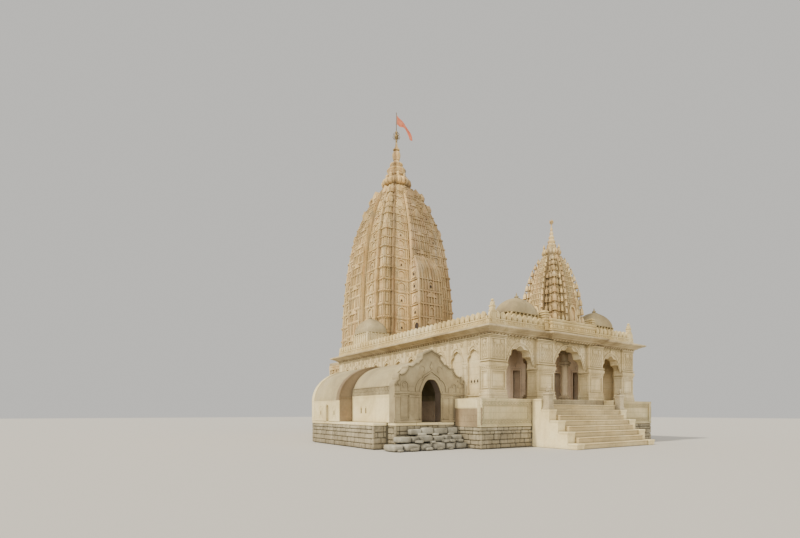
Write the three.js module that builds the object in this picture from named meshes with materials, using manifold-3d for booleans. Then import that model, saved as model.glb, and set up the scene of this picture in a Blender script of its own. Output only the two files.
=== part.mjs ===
// A hall temple with a curvilinear great spire, a small spire over the porch, four low domed roof
// kiosks, a flight of stone steps, and two low barrel-vaulted chambers behind a gabled portal.
// Millimetres, +Z up. The origin is on the underside of the plinth at the centre of the hall.
// The entrance faces -Y. z = 0 is the lowest ground, at the foot of the steps.
import * as THREE from "three";
import Module from "manifold-3d";
import { mergeVertices } from "three/addons/utils/BufferGeometryUtils.js";

const wasm = await Module();
wasm.setup();

// ---- driving dimensions (mm) ----
const GAP = 0.3; // clearance between touching pieces
const HX = 7150, HY = 9450; // half width and half length of the hall
const Z_BANK = 1200; // ground level against the hall, above the foot of the steps
const Z_FLOOR = 2800; // hall and landing floor
const Z_WALL = 6750; // top of the hall walls
const Z_ROOF = 7020; // top of the roof slab
const Z_PARAPET = 7740; // top of the parapet
const WALL_T = 800, FRONT_T = 700;
const PLINTH_LEFT = 800, PLINTH_RIGHT = 2000, PLINTH_FRONT = 200;
const ATTIC_PROJ = 300, ATTIC_HALF = 2200; // how far the roof edge stands forward over the middle arch, and its half width
const PIER_PROJ = 120; // how far the two middle piers stand forward
const SPRING = 4700; // springing of the front arches
const ARCH_APEX = 6020;
const CORNER_PIER = 1400, SIDE_BAY = 2450, MID_PIER = 1600, MID_BAY = 3400;
const EAVE_OUT = 600;
const TOWER_Y = HY + 1600, TOWER_HALF = 5000; // centre and half side of the sanctum
const TOWER_CORNER = 4120; // half side of the great spire at its corners
const Z_TOWER = 7020, Z_NECK = 24300;
const SPIRE_Y = -HY + 1520, SPIRE_CORNER = 1490;
const STEP_RISE = Z_FLOOR / 9, STEP_RUN = 310, LANDING = 870, STAIR_HALF = 3880, CHEEK = 680;
const CH_W = 4930, CH_H = 1950, CH_SPRING = 3000; // front chamber: width, vault rise, springing
const RC_W = 5830, RC_H = 2200, RC_SPRING = 2750; // rear chamber
const T_PORTAL = 2000, PORTAL_T = 600, T_REAR = 6920, T_END = 11100;
const Z_CHAMBER = 1450;

// ---- materials ----
const stone = (c, r = 0.9) => new THREE.MeshStandardMaterial({ color: c, roughness: r, metalness: 0 });
const M = {
  hall: stone(0xd8c49a), plinth: stone(0xb3a684), roof: stone(0xa79b80), tower: stone(0xc9b28a),
  chamber: stone(0xe2d3b0), portal: stone(0xa2957a), vault: stone(0xbdb090), steps: stone(0xd6c29c),
  carved: stone(0xcdb98f), metal: new THREE.MeshStandardMaterial({ color: 0x9a7b3c, roughness: 0.45, metalness: 0.9 }),
  wood: stone(0x6b5a45, 0.8), cloth: stone(0xd9714f, 0.9),
};

const root = new THREE.Group();
function put(name, geometry, material) {
  const mesh = new THREE.Mesh(geometry, material);
  mesh.name = name;
  root.add(mesh);
  return mesh;
}

// A box between two corners, drawn in by the clearance except where it stands on the ground.
function boxGeo(x0, x1, y0, y1, z0, z1, inset = GAP / 2) {
  const a = z0 === 0 ? 0 : inset;
  const g = new THREE.BoxGeometry(x1 - x0 - 2 * inset, y1 - y0 - 2 * inset, z1 - z0 - a - inset);
  g.translate((x0 + x1) / 2, (y0 + y1) / 2, (z0 + a + z1 - inset) / 2);
  return g;
}
// A stack of rings with the same number of points, capped at both ends.
function loft(rings) {
  const n = rings[0].length, pos = [], idx = [];
  for (const r of rings) for (const p of r) pos.push(p[0], p[1], p[2]);
  for (let k = 0; k + 1 < rings.length; k++)
    for (let i = 0; i < n; i++) {
      const j = (i + 1) % n, a = k * n + i, b = k * n + j, c = a + n, d = b + n;
      idx.push(a, b, d, a, d, c);
    }
  const cap = (r, base, flip) => {
    const tris = THREE.ShapeUtils.triangulateShape(r.map((p) => new THREE.Vector2(p[0], p[1])), []);
    for (const [a, b, c] of tris) flip ? idx.push(base + a, base + c, base + b) : idx.push(base + a, base + b, base + c);
  };
  cap(rings[0], 0, true);
  cap(rings[rings.length - 1], (rings.length - 1) * n, false);
  const g = new THREE.BufferGeometry();
  g.setAttribute("position", new THREE.Float32BufferAttribute(pos, 3));
  g.setIndex(idx);
  g.computeVertexNormals();
  return g;
}
// A polygon in the XZ plane extruded along Y, from y0 to y1.
function prismXZ(points, y0, y1, holes = []) {
  const s = new THREE.Shape(points.map((p) => new THREE.Vector2(p[0], p[1])));
  for (const h of holes) s.holes.push(new THREE.Path(h.map((p) => new THREE.Vector2(p[0], p[1]))));
  const g = new THREE.ExtrudeGeometry(s, { depth: y1 - y0, bevelEnabled: false });
  g.rotateX(Math.PI / 2); // (x, y, z) -> (x, -z, y)
  g.translate(0, y1, 0);
  return g;
}
// A polygon in the YZ plane extruded along X, from x0 to x1.
function prismYZ(points, x0, x1, holes = []) {
  const s = new THREE.Shape(points.map((p) => new THREE.Vector2(p[0], p[1])));
  for (const h of holes) s.holes.push(new THREE.Path(h.map((p) => new THREE.Vector2(p[0], p[1]))));
  const g = new THREE.ExtrudeGeometry(s, { depth: x1 - x0, bevelEnabled: false });
  g.rotateZ(Math.PI / 2);
  g.rotateY(Math.PI / 2); // (x, y, z) -> (z, x, y)
  g.translate(x0, 0, 0);
  return g;
}
// A polygon in plan extruded from z0 to z1.
function prismXY(points, z0, z1) {
  const s = new THREE.Shape(points.map((p) => new THREE.Vector2(p[0], p[1])));
  const g = new THREE.ExtrudeGeometry(s, { depth: z1 - z0, bevelEnabled: false });
  g.translate(0, 0, z0);
  return g;
}
function solid(geometry) {
  const g = (geometry.index ? geometry.toNonIndexed() : geometry.clone());
  g.deleteAttribute("normal");
  g.deleteAttribute("uv");
  const m = mergeVertices(g, 1e-3);
  return new wasm.Manifold(new wasm.Mesh({ numProp: 3, vertProperties: m.attributes.position.array, triVerts: new Uint32Array(m.index.array) }));
}
function geo(manifold) {
  const m = manifold.getMesh();
  const v = new Float32Array(m.numVert * 3);
  for (let i = 0; i < m.numVert; i++) v.set(m.vertProperties.subarray(i * m.numProp, i * m.numProp + 3), i * 3);
  const g = new THREE.BufferGeometry();
  g.setAttribute("position", new THREE.BufferAttribute(v, 3));
  g.setIndex(new THREE.BufferAttribute(m.triVerts, 1));
  g.computeVertexNormals();
  return g;
}
const join = (...gs) => geo(gs.map(solid).reduce((a, b) => a.add(b)));
const cut = (g, ...tools) => geo(tools.map(solid).reduce((a, b) => a.subtract(b), solid(g)));

// The lower edge of a cusped arch, from the left springing to the right one.
function cusped(xc, half, spring, apex, foils = 5, seg = 5) {
  const pts = [];
  const main = (u) => {
    // pointed arch line, u from 0 at the left springing to 1 at the right
    const t = Math.abs(u * 2 - 1), side = u < 0.5 ? -1 : 1;
    return [xc + side * half * Math.pow(t, 0.78), spring + (apex - spring) * (1 - Math.pow(t, 1.75))];
  };
  for (let k = 0; k < foils; k++) {
    const a = main(k / foils), b = main((k + 1) / foils);
    const dx = b[0] - a[0], dz = b[1] - a[1], l = Math.hypot(dx, dz);
    const nx = -dz / l, nz = dx / l, depth = l * 0.3;
    for (let i = 0; i < seg; i++) {
      const s = i / seg, bulge = Math.sin(Math.PI * s) * depth;
      pts.push([a[0] + dx * s + nx * bulge, a[1] + dz * s + nz * bulge]);
    }
  }
  pts.push(main(1));
  return pts;
}

// ---- plinth: one mass of masonry under the hall, its terrace and the sanctum ----
put("plinth", prismXY([
  [-HX - PLINTH_LEFT, -HY - PLINTH_FRONT], [HX + PLINTH_RIGHT, -HY - PLINTH_FRONT], [HX + PLINTH_RIGHT, HY + 300],
  [TOWER_HALF + 350, HY + 300], [TOWER_HALF + 350, TOWER_Y + TOWER_HALF + 350], [-TOWER_HALF - 350, TOWER_Y + TOWER_HALF + 350],
  [-TOWER_HALF - 350, HY + 300], [-HX, HY + 300], [-HX, -HY + T_PORTAL - GAP], [-HX - PLINTH_LEFT, -HY + T_PORTAL - GAP],
], 0, Z_FLOOR - GAP), M.plinth);

// ---- front piers and cusped arches ----
const front = -HY;
const piers = [
  ["front_pier_1", -HX, -HX + CORNER_PIER, front],
  ["front_pier_2", -MID_BAY / 2 - MID_PIER, -MID_BAY / 2, front - PIER_PROJ],
  ["front_pier_3", MID_BAY / 2, MID_BAY / 2 + MID_PIER, front - PIER_PROJ],
  ["front_pier_4", HX - CORNER_PIER, HX, front],
];
for (const [name, x0, x1, y0] of piers) {
  const core = boxGeo(x0, x1, front, front + FRONT_T, Z_FLOOR, Z_WALL);
  put(name, y0 < front ? join(core, boxGeo(x0, x1, y0, front + 50, Z_FLOOR, Z_WALL - 330)) : core, M.hall);
}
function archPanel(name, xc, half, y0, y1, apex, reveal) {
  const curve = cusped(xc, half - reveal, SPRING, apex);
  const h = half - GAP;
  const outer = [[xc - h, Z_WALL - GAP], [xc - h, SPRING], ...curve, [xc + h, SPRING], [xc + h, Z_WALL - GAP]];
  put(name, prismXZ(outer.reverse(), y0, y1), M.hall);
}
const sideX = (HX - CORNER_PIER + MID_BAY / 2 + MID_PIER) / 2, sideHalf = SIDE_BAY / 2;
archPanel("front_arch_left", -sideX, sideHalf, front + 120, front + FRONT_T - 40, ARCH_APEX - 250, 60);
archPanel("front_arch_right", sideX, sideHalf, front + 120, front + FRONT_T - 40, ARCH_APEX - 250, 60);
archPanel("front_arch_middle", 0, MID_BAY / 2, front + 120, front + FRONT_T - 40, ARCH_APEX, 60);

// ---- hall walls ----
put("left_wall", boxGeo(-HX, -HX + WALL_T, front + FRONT_T, HY, Z_FLOOR, Z_WALL), M.hall);
put("right_wall", boxGeo(HX - WALL_T, HX, front + FRONT_T, HY, Z_FLOOR, Z_WALL), M.hall);
const ty0 = TOWER_Y - TOWER_HALF, ty1 = TOWER_Y + TOWER_HALF, SF = 900, ST = 1300; // sanctum: front, back, wall thicknesses
put("sanctum_wall_front", cut(boxGeo(-HX + WALL_T, HX - WALL_T, ty0, ty0 + SF, Z_FLOOR, Z_WALL),
  new THREE.BoxGeometry(1800, 3000, 5400).translate(0, ty0 + SF / 2, Z_FLOOR)), M.hall);
const innerY = front + 2690;
const door = (w, h, x) => new THREE.BoxGeometry(w, 3000, 2 * h).translate(x, innerY, Z_FLOOR);
put("inner_wall", cut(boxGeo(-HX + WALL_T, HX - WALL_T, innerY, innerY + 500, Z_FLOOR, Z_WALL),
  door(1900, 2900, 0), door(650, 1990, -2060), door(650, 1990, 2060), door(850, 2150, -4250), door(850, 2150, 4250)), M.hall);
// porch columns: square base, shaft and bracket capital
for (const [i, x] of [[1, -1780], [2, 1780]]) {
  const y = front + 1850;
  const ring = (h, z) => [[x - h, y - h, z], [x + h, y - h, z], [x + h, y + h, z], [x - h, y + h, z]];
  put("porch_column_" + i, loft([
    ring(330, Z_FLOOR + GAP), ring(330, Z_FLOOR + 260), ring(250, Z_FLOOR + 360), ring(230, 5200), ring(300, 5320),
    ring(300, 5480), ring(240, 5560), ring(260, 6050), ring(520, 6450), ring(520, Z_WALL - GAP),
  ]), M.carved);
}

// ---- roof slab, sloping eaves and parapets ----
put("roof_slab", prismXY([
  [-HX, front], [-ATTIC_HALF, front], [-ATTIC_HALF, front - ATTIC_PROJ], [ATTIC_HALF, front - ATTIC_PROJ], [ATTIC_HALF, front], [HX, front], [HX, HY],
  [TOWER_HALF, HY], [TOWER_HALF, ty1], [-TOWER_HALF, ty1], [-TOWER_HALF, HY], [-HX, HY],
], Z_WALL + GAP / 2, Z_ROOF - GAP / 2), M.roof);
// a length of eave swept along a plan line, mitred at both ends
function eaveRun(path) {
  // path: plan points of the wall line, anticlockwise round the building; each corner is mitred
  const rings = [];
  const n = path.length;
  for (let i = 0; i < n; i++) {
    const p = path[i].p, d = path[i].d; // d is the outward offset direction of one unit
    const z = [[GAP, Z_WALL - 290], [EAVE_OUT, Z_WALL - 30], [EAVE_OUT, Z_WALL + 50], [GAP, Z_ROOF - 40]];
    rings.push(z.map(([o, h]) => [p[0] + d[0] * o, p[1] + d[1] * o, h]));
  }
  return rings;
}
function sweep(rings) {
  const n = rings[0].length, pos = [], idx = [];
  for (const r of rings) for (const p of r) pos.push(...p);
  for (let k = 0; k + 1 < rings.length; k++)
    for (let i = 0; i < n; i++) {
      const j = (i + 1) % n, a = k * n + i, b = k * n + j, c = a + n, d = b + n;
      idx.push(a, b, d, a, d, c);
    }
  const last = (rings.length - 1) * n;
  for (let i = 1; i + 1 < n; i++) { idx.push(0, i + 1, i); idx.push(last, last + i, last + i + 1); }
  const g = new THREE.BufferGeometry();
  g.setAttribute("position", new THREE.Float32BufferAttribute(pos, 3));
  g.setIndex(idx);
  g.computeVertexNormals();
  const s = solid(g);
  if (s.volume() < 0) {
    for (let i = 0; i < idx.length; i += 3) [idx[i + 1], idx[i + 2]] = [idx[i + 2], idx[i + 1]];
    g.setIndex(idx);
    g.computeVertexNormals();
  }
  return g;
}
const mx = ATTIC_HALF, my = front - ATTIC_PROJ;
put("eave_front", join(sweep(eaveRun([
  { p: [-HX + GAP, front], d: [-1, -1] }, { p: [-mx, front], d: [-1, -1] }, { p: [-mx, my], d: [-1, -1] },
  { p: [mx, my], d: [1, -1] }, { p: [mx, front], d: [1, -1] }, { p: [HX - GAP, front], d: [1, -1] },
])), boxGeo(-mx - 5, mx + 5, my - 5, front - GAP, Z_WALL - 288, Z_WALL - GAP / 2)), M.roof); // the beam fills the space behind the part that stands forward
put("eave_right", sweep(eaveRun([{ p: [HX, front + GAP], d: [1, -1] }, { p: [HX, HY], d: [1, 1] }, { p: [TOWER_HALF + GAP, HY], d: [0, 1] }])), M.roof);
put("eave_left", sweep(eaveRun([{ p: [-TOWER_HALF - GAP, HY], d: [0, 1] }, { p: [-HX, HY], d: [-1, 1] }, { p: [-HX, front + GAP], d: [-1, -1] }])), M.roof);

const PT = 320; // parapet thickness
{
  const wall = prismXY([
    [-HX, front], [-mx, front], [-mx, my], [mx, my], [mx, front], [HX, front], [HX, front + PT],
    [mx - PT, front + PT], [mx - PT, my + PT], [-mx + PT, my + PT], [-mx + PT, front + PT], [-HX, front + PT],
  ], Z_ROOF + GAP / 2, Z_PARAPET);
  const extra = [];
  for (const s of [-1, 1]) {
    extra.push(new THREE.BoxGeometry(380, 620, 1270).translate(s * (mx + 130), front + 240, Z_ROOF + GAP / 2 + 635)); // block at the end of the attic
    extra.push(new THREE.BoxGeometry(360, 316, 900).translate(s * (HX - 400), front + 160, Z_PARAPET - 100 + 390)); // corner pinnacle
  }
  put("parapet_front", join(wall, ...extra), M.hall);
}
{
  const e = -TOWER_HALF - 60, a = -HX + PT;
  const plan = [[-HX, front + PT + GAP], [a, front + PT + GAP], [a, HY - PT], [e, HY - PT], [e, HY], [-HX, HY]];
  put("parapet_left", prismXY(plan, Z_ROOF + GAP / 2, Z_PARAPET), M.hall);
  put("parapet_right", prismXY(plan.map(([x, y]) => [-x, y]).reverse(), Z_ROOF + GAP / 2, Z_PARAPET), M.hall);
}

// ---- sanctum walls and great spire ----
{
  const a = -HX + WALL_T + GAP, b = -TOWER_HALF + ST - GAP, c = -TOWER_HALF, f = ty0 + SF + GAP;
  const wall = [[a, f], [b, f], [b, ty1], [c, ty1], [c, HY], [a, HY]];
  put("sanctum_wall_left", prismXY(wall, Z_FLOOR + GAP / 2, Z_WALL - GAP / 2), M.tower);
  put("sanctum_wall_right", prismXY(wall.map(([x, y]) => [-x, y]).reverse(), Z_FLOOR + GAP / 2, Z_WALL - GAP / 2), M.tower);
}
put("sanctum_wall_back", boxGeo(-TOWER_HALF + ST, TOWER_HALF - ST, ty1 - ST, ty1, Z_FLOOR, Z_WALL), M.tower);

// Plan of the spire at unit half side: a square with three stepped offsets on each side.
function spirePlan(h, steps) {
  const side = [];
  // from the corner at (-1,-1) to the corner at (1,-1), in the order of walking round
  for (const [a, o] of steps) side.push([a, o]);
  const quarter = [];
  const seq = [];
  const n = side.length;
  for (let i = 0; i < n; i++) {
    const [a, o] = side[i];
    const prev = i ? side[i - 1][1] : null;
    if (prev !== null) seq.push([a, prev]);
    seq.push([a, o]);
  }
  const mirrored = seq.map(([a, o]) => [-a, o]).reverse();
  const one = [...seq, ...mirrored];
  const pts = [];
  for (let q = 0; q < 4; q++) {
    const c = [1, 0, -1, 0][q], s = [0, 1, 0, -1][q];
    for (const [a, o] of one) {
      const x = a * h, y = -o * h;
      pts.push([x * c - y * s, x * s + y * c]);
    }
  }
  return pts.filter((p, i) => {
    const q = pts[(i + 1) % pts.length];
    return Math.hypot(p[0] - q[0], p[1] - q[1]) > 1e-3 * h;
  });
}
// half width of each offset and how far out it stands, as shares of the corner's half side
const STEPS = [[-1, 1], [-0.8, 1.07], [-0.3, 1.2]];
const STEPS_SMALL = [[-1, 1], [-0.72, 1.05], [-0.34, 1.1]];
// profile of the great spire: height against share of the base width
const PROFILE = [[Z_TOWER, 1.0], [8750, 0.994], [11330, 0.977], [13120, 0.953], [14790, 0.924], [16810, 0.873], [18070, 0.830], [19150, 0.778], [20390, 0.703], [21530, 0.613], [22400, 0.530], [23180, 0.443], [23700, 0.366], [24040, 0.309], [24300, 0.257]];
{
  const body = loft(PROFILE.map(([z, k], i) => spirePlan(TOWER_CORNER * k, STEPS).map(([x, y]) => [x, y + TOWER_Y, z + (i ? 0 : GAP)])));
  // the deep middle offset of the front face: height, half width, how far it stands beyond the rib
  const prow = [[Z_TOWER + GAP, 1330, 1570], [14000, 1290, 1530], [14900, 1270, 1420], [15600, 1200, 1180], [16100, 1080, 860], [16450, 900, 520], [16700, 700, 220]];
  const share = (z) => {
    const i = Math.max(1, PROFILE.findIndex(([h]) => h >= z)), [a, ka] = PROFILE[i - 1], [b, kb] = PROFILE[i];
    return ka + ((kb - ka) * Math.max(0, z - a)) / (b - a);
  };
  const y0 = (z) => TOWER_Y - TOWER_CORNER * 1.07 * share(z);
  const front = loft(prow.map(([z, w, d]) => [[-w, y0(z) - d, z], [w, y0(z) - d, z], [w, TOWER_Y - 3000, z], [-w, TOWER_Y - 3000, z]]));
  put("great_spire", join(body, front), M.tower);
}

function lathe(points, x, y, seg = 20) {
  const g = new THREE.LatheGeometry(points.map((p) => new THREE.Vector2(p[0], p[1])), seg);
  g.rotateX(Math.PI / 2);
  g.translate(x, y, 0);
  return g;
}
put("great_spire_crown", lathe([[0, Z_NECK + GAP], [1055, Z_NECK + GAP], [1085, 24390], [1375, 24510], [1510, 24770], [1465, 25030], [1235, 25220], [960, 25310], [895, 25450],
  [910, 26000], [985, 26170], [875, 26340], [545, 26450], [545, 26630], [675, 26760], [635, 26880], [365, 27090], [270, 27280], [380, 27470], [405, 27760], [345, 28050], [180, 28180],
  [180, 28230], [350, 28290], [345, 28370], [170, 28470], [115, 28840], [90, 29000], [0, 29000]], 0, TOWER_Y), M.tower);
put("great_spire_finial", lathe([[0, 29000 + GAP], [80, 29000 + GAP], [80, 29330], [270, 29460], [385, 29680], [270, 29920], [80, 30070], [55, 30230], [0, 30230]], 0, TOWER_Y, 16), M.metal);
put("flagpole", lathe([[0, 30230 + GAP], [45, 30230 + GAP], [34, 32100], [0, 32100]], 0, TOWER_Y, 10), M.wood);
// pennant: flies from the pole towards +X, as a plain slab of its outline
{
  const outline = [[60, 30900], [440, 30800], [860, 30840], [1330, 30520], [1470, 30280], [1530, 29770], [2000, 29810], [1790, 30370], [1610, 30680], [1340, 31000], [860, 31380], [60, 31860]];
  put("pennant", prismXZ(outline, TOWER_Y - 130, TOWER_Y + 130), M.cloth);
}

// ---- small spire over the porch ----
put("small_spire_base", boxGeo(-SPIRE_CORNER - 30, SPIRE_CORNER + 30, my + PT, SPIRE_Y + SPIRE_CORNER * 1.1 + 60, Z_ROOF, 7750), M.hall);
const PROFILE2 = [[7750, 1.0], [8460, 0.988], [9170, 0.943], [9870, 0.88], [10510, 0.795], [11160, 0.68], [11700, 0.56], [12080, 0.455], [12350, 0.36]];
put("small_spire", loft(PROFILE2.map(([z, k], i) => spirePlan(SPIRE_CORNER * k, STEPS_SMALL).map(([x, y]) => [x, y + SPIRE_Y, z + (i ? 0 : GAP)]))), M.tower);
put("small_spire_crown", lathe([[0, 12350 + GAP], [490, 12350 + GAP], [530, 12430], [615, 12500], [620, 12640], [550, 12780], [420, 12860], [320, 12930], [290, 13050], [300, 13130], [230, 13250], [240, 13400], [165, 13560], [175, 13680],
  [110, 13820], [120, 13960], [72, 14080], [85, 14210], [45, 14320], [42, 14590], [135, 14670], [150, 14750], [60, 14820], [0, 14880]], 0, SPIRE_Y, 16), M.tower);

// ---- low domed kiosks on the roof ----
function kiosk(name, xc, yc, a, b, zTop, rise, over) {
  const base = boxGeo(xc - a, xc + a, yc - b, yc + b, Z_ROOF, zTop);
  const rings = [], A = a + over, B = b + over;
  for (const [h, k] of [[0, 0.97], [0.06, 1.0], [0.28, 0.96], [0.52, 0.85], [0.73, 0.67], [0.88, 0.45], [0.97, 0.22], [1.0, 0.07]]) {
    const r = [], e = 2 / (5 - 2.6 * h); // square below, rounder above
    for (let i = 0; i < 24; i++) {
      const t = ((i + 0.5) / 24) * Math.PI * 2, c = Math.cos(t), s = Math.sin(t);
      r.push([xc + A * k * Math.sign(c) * Math.pow(Math.abs(c), e), yc + B * k * Math.sign(s) * Math.pow(Math.abs(s), e), zTop - 1 + h * rise]);
    }
    rings.push(r);
  }
  put(name, join(base, loft(rings), new THREE.CylinderGeometry(30, 70, 420, 8).rotateX(Math.PI / 2).translate(xc, yc, zTop + rise + 160)), M.vault);
}
kiosk("kiosk_front_left", -3900, front + 1000, 1200, 640, 7950, 1020, 150);
kiosk("kiosk_front_right", 3900, front + 1000, 1200, 640, 7950, 1020, 150);
kiosk("kiosk_rear_left", -5530, HY - 2850, 1050, 1300, 8700, 1300, 60);
kiosk("kiosk_rear_right", 5530, HY - 2850, 1050, 1300, 8700, 1300, 60);

// ---- steps ----
const s0 = -HY - PLINTH_FRONT - GAP;
{
  let y = s0 - LANDING, z = Z_FLOOR - STEP_RISE;
  const p = [[s0, 0], [s0, z], [y, z]];
  for (let k = 2; k <= 9; k++) {
    z = Math.max(0, Z_FLOOR - k * STEP_RISE);
    if (k < 9) { p.push([y, z]); y -= STEP_RUN; p.push([y, z]); } else p.push([y, 0]);
  }
  put("steps", prismYZ(p.reverse(), -STAIR_HALF + CHEEK + GAP, STAIR_HALF - CHEEK - GAP), M.steps);
}
for (const [name, x0] of [["step_wall_left", -STAIR_HALF], ["step_wall_right", STAIR_HALF - CHEEK]]) {
  const e = s0 - LANDING + 210, R = (k) => Math.max(0, Z_FLOOR - k * STEP_RISE);
  const p = [[s0, 0], [s0, Z_FLOOR - GAP], [e, Z_FLOOR - GAP], [e, R(2)], [e - 590, R(2)], [e - 590, R(4)], [e - 1190, R(4)], [e - 1190, R(6)], [e - 1820, R(6)], [e - 1820, R(8)], [e - 2430, R(8)], [e - 2430, 0]];
  put(name, prismYZ(p.reverse(), x0, x0 + CHEEK), M.steps);
}
for (const [name, x] of [["step_post_left", -STAIR_HALF + CHEEK / 2], ["step_post_right", STAIR_HALF - CHEEK / 2]]) {
  const y = s0 - LANDING + 210 - 245, z = Z_FLOOR - 2 * STEP_RISE + GAP;
  const base = boxGeo(x - 250, x + 250, y - 235, y + 235, z, z + 970);
  const lion = new THREE.BoxGeometry(240, 380, 420).translate(x, y, z + 970 + 200);
  put(name, join(base, lion), M.carved);
}

// ---- side chambers ----
const cx = -HX, py = front + T_PORTAL;
put("chamber_plinth", prismXY([
  [cx - GAP, py], [cx - GAP, front + T_END], [cx - RC_W, front + T_END], [cx - RC_W, front + T_REAR], [cx - RC_W, py + PORTAL_T + 200], [cx - CH_W, py + PORTAL_T + 200], [cx - CH_W, py],
].reverse(), 0, Z_CHAMBER - GAP), M.plinth);
{ // portal: two piers and a gable over a pointed arch
  const xl = cx - CH_W, xr = cx - GAP, mid = (xl + xr) / 2 + 0, half = 690, spring = 3100, apex = 3870;
  const arch = [];
  for (let i = 0; i <= 12; i++) {
    const u = i / 12, t = Math.abs(2 * u - 1), sgn = u < 0.5 ? -1 : 1;
    arch.push([mid + sgn * half * Math.pow(t, 0.62), spring + (apex - spring) * (1 - Math.pow(t, 1.7))]);
  }
  arch[0][0] = mid - half; arch[12][0] = mid + half;
  put("portal_pier_outer", boxGeo(xl, mid - half, py, py + PORTAL_T, Z_CHAMBER, spring), M.portal);
  put("portal_pier_inner", boxGeo(mid + half, xr, py, py + PORTAL_T, Z_CHAMBER, spring), M.portal);
  const g = (o, z) => [[o, z]];
  const prof = [[2465, 3550], [2250, 3820], [2200, 4130], [2050, 4090], [1640, 4440], [1575, 4590], [1400, 4560], [1175, 4700], [900, 4780], [815, 4900], [640, 5050], [585, 5320], [360, 5420], [0, 5570]];
  const left = prof.map(([o, z]) => [mid - o, z]), right = prof.slice(0, -1).reverse().map(([o, z]) => [mid + Math.min(o, xr - mid), z]);
  const outline = [[xl, spring + GAP], ...left.map((p, i) => (i ? p : [xl, p[1]])), ...right, [xr, spring + GAP], ...arch.slice().reverse().map((p) => [p[0], p[1] + GAP])];
  put("portal_gable", prismXZ(outline.reverse(), py, py + PORTAL_T), M.portal);
}
const ellipse = (xc, a, h, z, n = 20, from = 0, to = Math.PI) => {
  const p = [];
  for (let i = 0; i <= n; i++) { const t = from + ((to - from) * i) / n; p.push([xc + a * Math.cos(t), z + h * Math.sin(t)]); }
  return p;
};
const OW = 450; // outer wall thickness of the chambers
const y1c = py + PORTAL_T, y2c = front + T_REAR, y3c = front + T_END;
const holeY = (yc, w, z0, h) => new THREE.BoxGeometry(3000, w, h).translate(cx - CH_W, yc, z0 + h / 2);
put("chamber_wall_front", cut(boxGeo(cx - CH_W, cx - CH_W + OW, y1c, y2c, Z_CHAMBER, CH_SPRING), holeY(y2c - 1150, 170, 1950, 330), holeY(y2c - 1700, 170, 1950, 330)), M.chamber);
put("chamber_inner_wall", boxGeo(cx - OW, cx, y1c, y3c, Z_CHAMBER, RC_SPRING), M.chamber);
{
  const xc = cx - CH_W / 2, a = CH_W / 2 - GAP, t = 300;
  const outer = ellipse(xc, a, CH_H, CH_SPRING), inner = ellipse(xc, a - t, CH_H - t, CH_SPRING).reverse();
  const flat = [...outer.map((p) => [p[0], p[1] + GAP]), ...inner.map((p) => [p[0], p[1] + GAP])];
  const leg = boxGeo(cx - t - 200, cx - 1, y1c + GAP / 2, y2c - GAP / 2, RC_SPRING + 1, CH_SPRING + 60);
  put("vault_front", join(prismXZ(flat, y1c + GAP, y2c - GAP), leg), M.vault);
}
{
  const xc = cx - RC_W / 2, a = RC_W / 2 - GAP, t = 300, lun = 400;
  const body = (y0, y1) => prismXZ([[cx - RC_W, Z_CHAMBER], [cx - OW - GAP, Z_CHAMBER], [cx - OW - GAP, RC_SPRING + GAP], [cx - GAP, RC_SPRING + GAP], ...ellipse(xc, a, RC_H, RC_SPRING).slice(1)], y0, y1);
  put("rear_chamber_front_wall", cut(body(y2c, y2c + lun), new THREE.BoxGeometry(900, 3000, 3800).translate(cx - 2465, y2c, Z_CHAMBER)), M.portal);
  // the inner part of this wall is as deep as the chamber; the inner wall butts against it
  put("rear_chamber_end_wall", body(y3c - lun, y3c), M.chamber);
  const outer = ellipse(xc, a, RC_H, RC_SPRING), inner = ellipse(xc, a - t, RC_H - t, RC_SPRING).reverse();
  put("vault_rear", prismXZ([...outer, ...inner].map((p) => [p[0], p[1] + GAP]), y2c + lun + GAP, y3c - lun - GAP), M.vault);
  const dy = y3c - 2450;
  const hole = (yc, w, z0, h) => new THREE.BoxGeometry(3000, w, h).translate(cx - RC_W, yc, z0 + h / 2);
  put("chamber_wall_rear", cut(boxGeo(cx - RC_W, cx - RC_W + OW, y2c + lun + GAP, y3c - lun - GAP, Z_CHAMBER, RC_SPRING),
    hole(dy, 380, Z_CHAMBER - 10, 1060), hole(dy - 1000, 150, 1850, 260), hole(dy + 1000, 150, 1850, 260)), M.chamber);
}
// rough stone steps at the portal
{
  const y = py - GAP, xr = -HX - PLINTH_LEFT - GAP;
  put("portal_steps", join(boxGeo(-12900, xr, y - 1250, y, 0, 400), boxGeo(-12300, xr, y - 850, y, 399, 790), boxGeo(-11350, xr, y - 450, y, 789, 1180)), M.plinth);
}

export default root;
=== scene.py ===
import bpy, math
import numpy as np
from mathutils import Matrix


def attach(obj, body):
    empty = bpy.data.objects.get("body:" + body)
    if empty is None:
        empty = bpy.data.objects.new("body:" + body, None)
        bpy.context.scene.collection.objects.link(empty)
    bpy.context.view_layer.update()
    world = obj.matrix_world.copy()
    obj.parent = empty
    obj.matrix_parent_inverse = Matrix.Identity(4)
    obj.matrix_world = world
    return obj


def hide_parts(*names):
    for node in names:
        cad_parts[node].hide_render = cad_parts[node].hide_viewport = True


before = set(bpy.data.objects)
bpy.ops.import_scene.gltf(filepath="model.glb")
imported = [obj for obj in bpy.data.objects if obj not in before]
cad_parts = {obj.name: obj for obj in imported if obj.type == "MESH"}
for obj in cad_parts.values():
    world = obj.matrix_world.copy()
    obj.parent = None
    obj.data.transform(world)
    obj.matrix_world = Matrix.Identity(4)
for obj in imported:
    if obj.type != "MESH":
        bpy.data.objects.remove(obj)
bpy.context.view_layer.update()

rng = np.random.default_rng(11)

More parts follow.
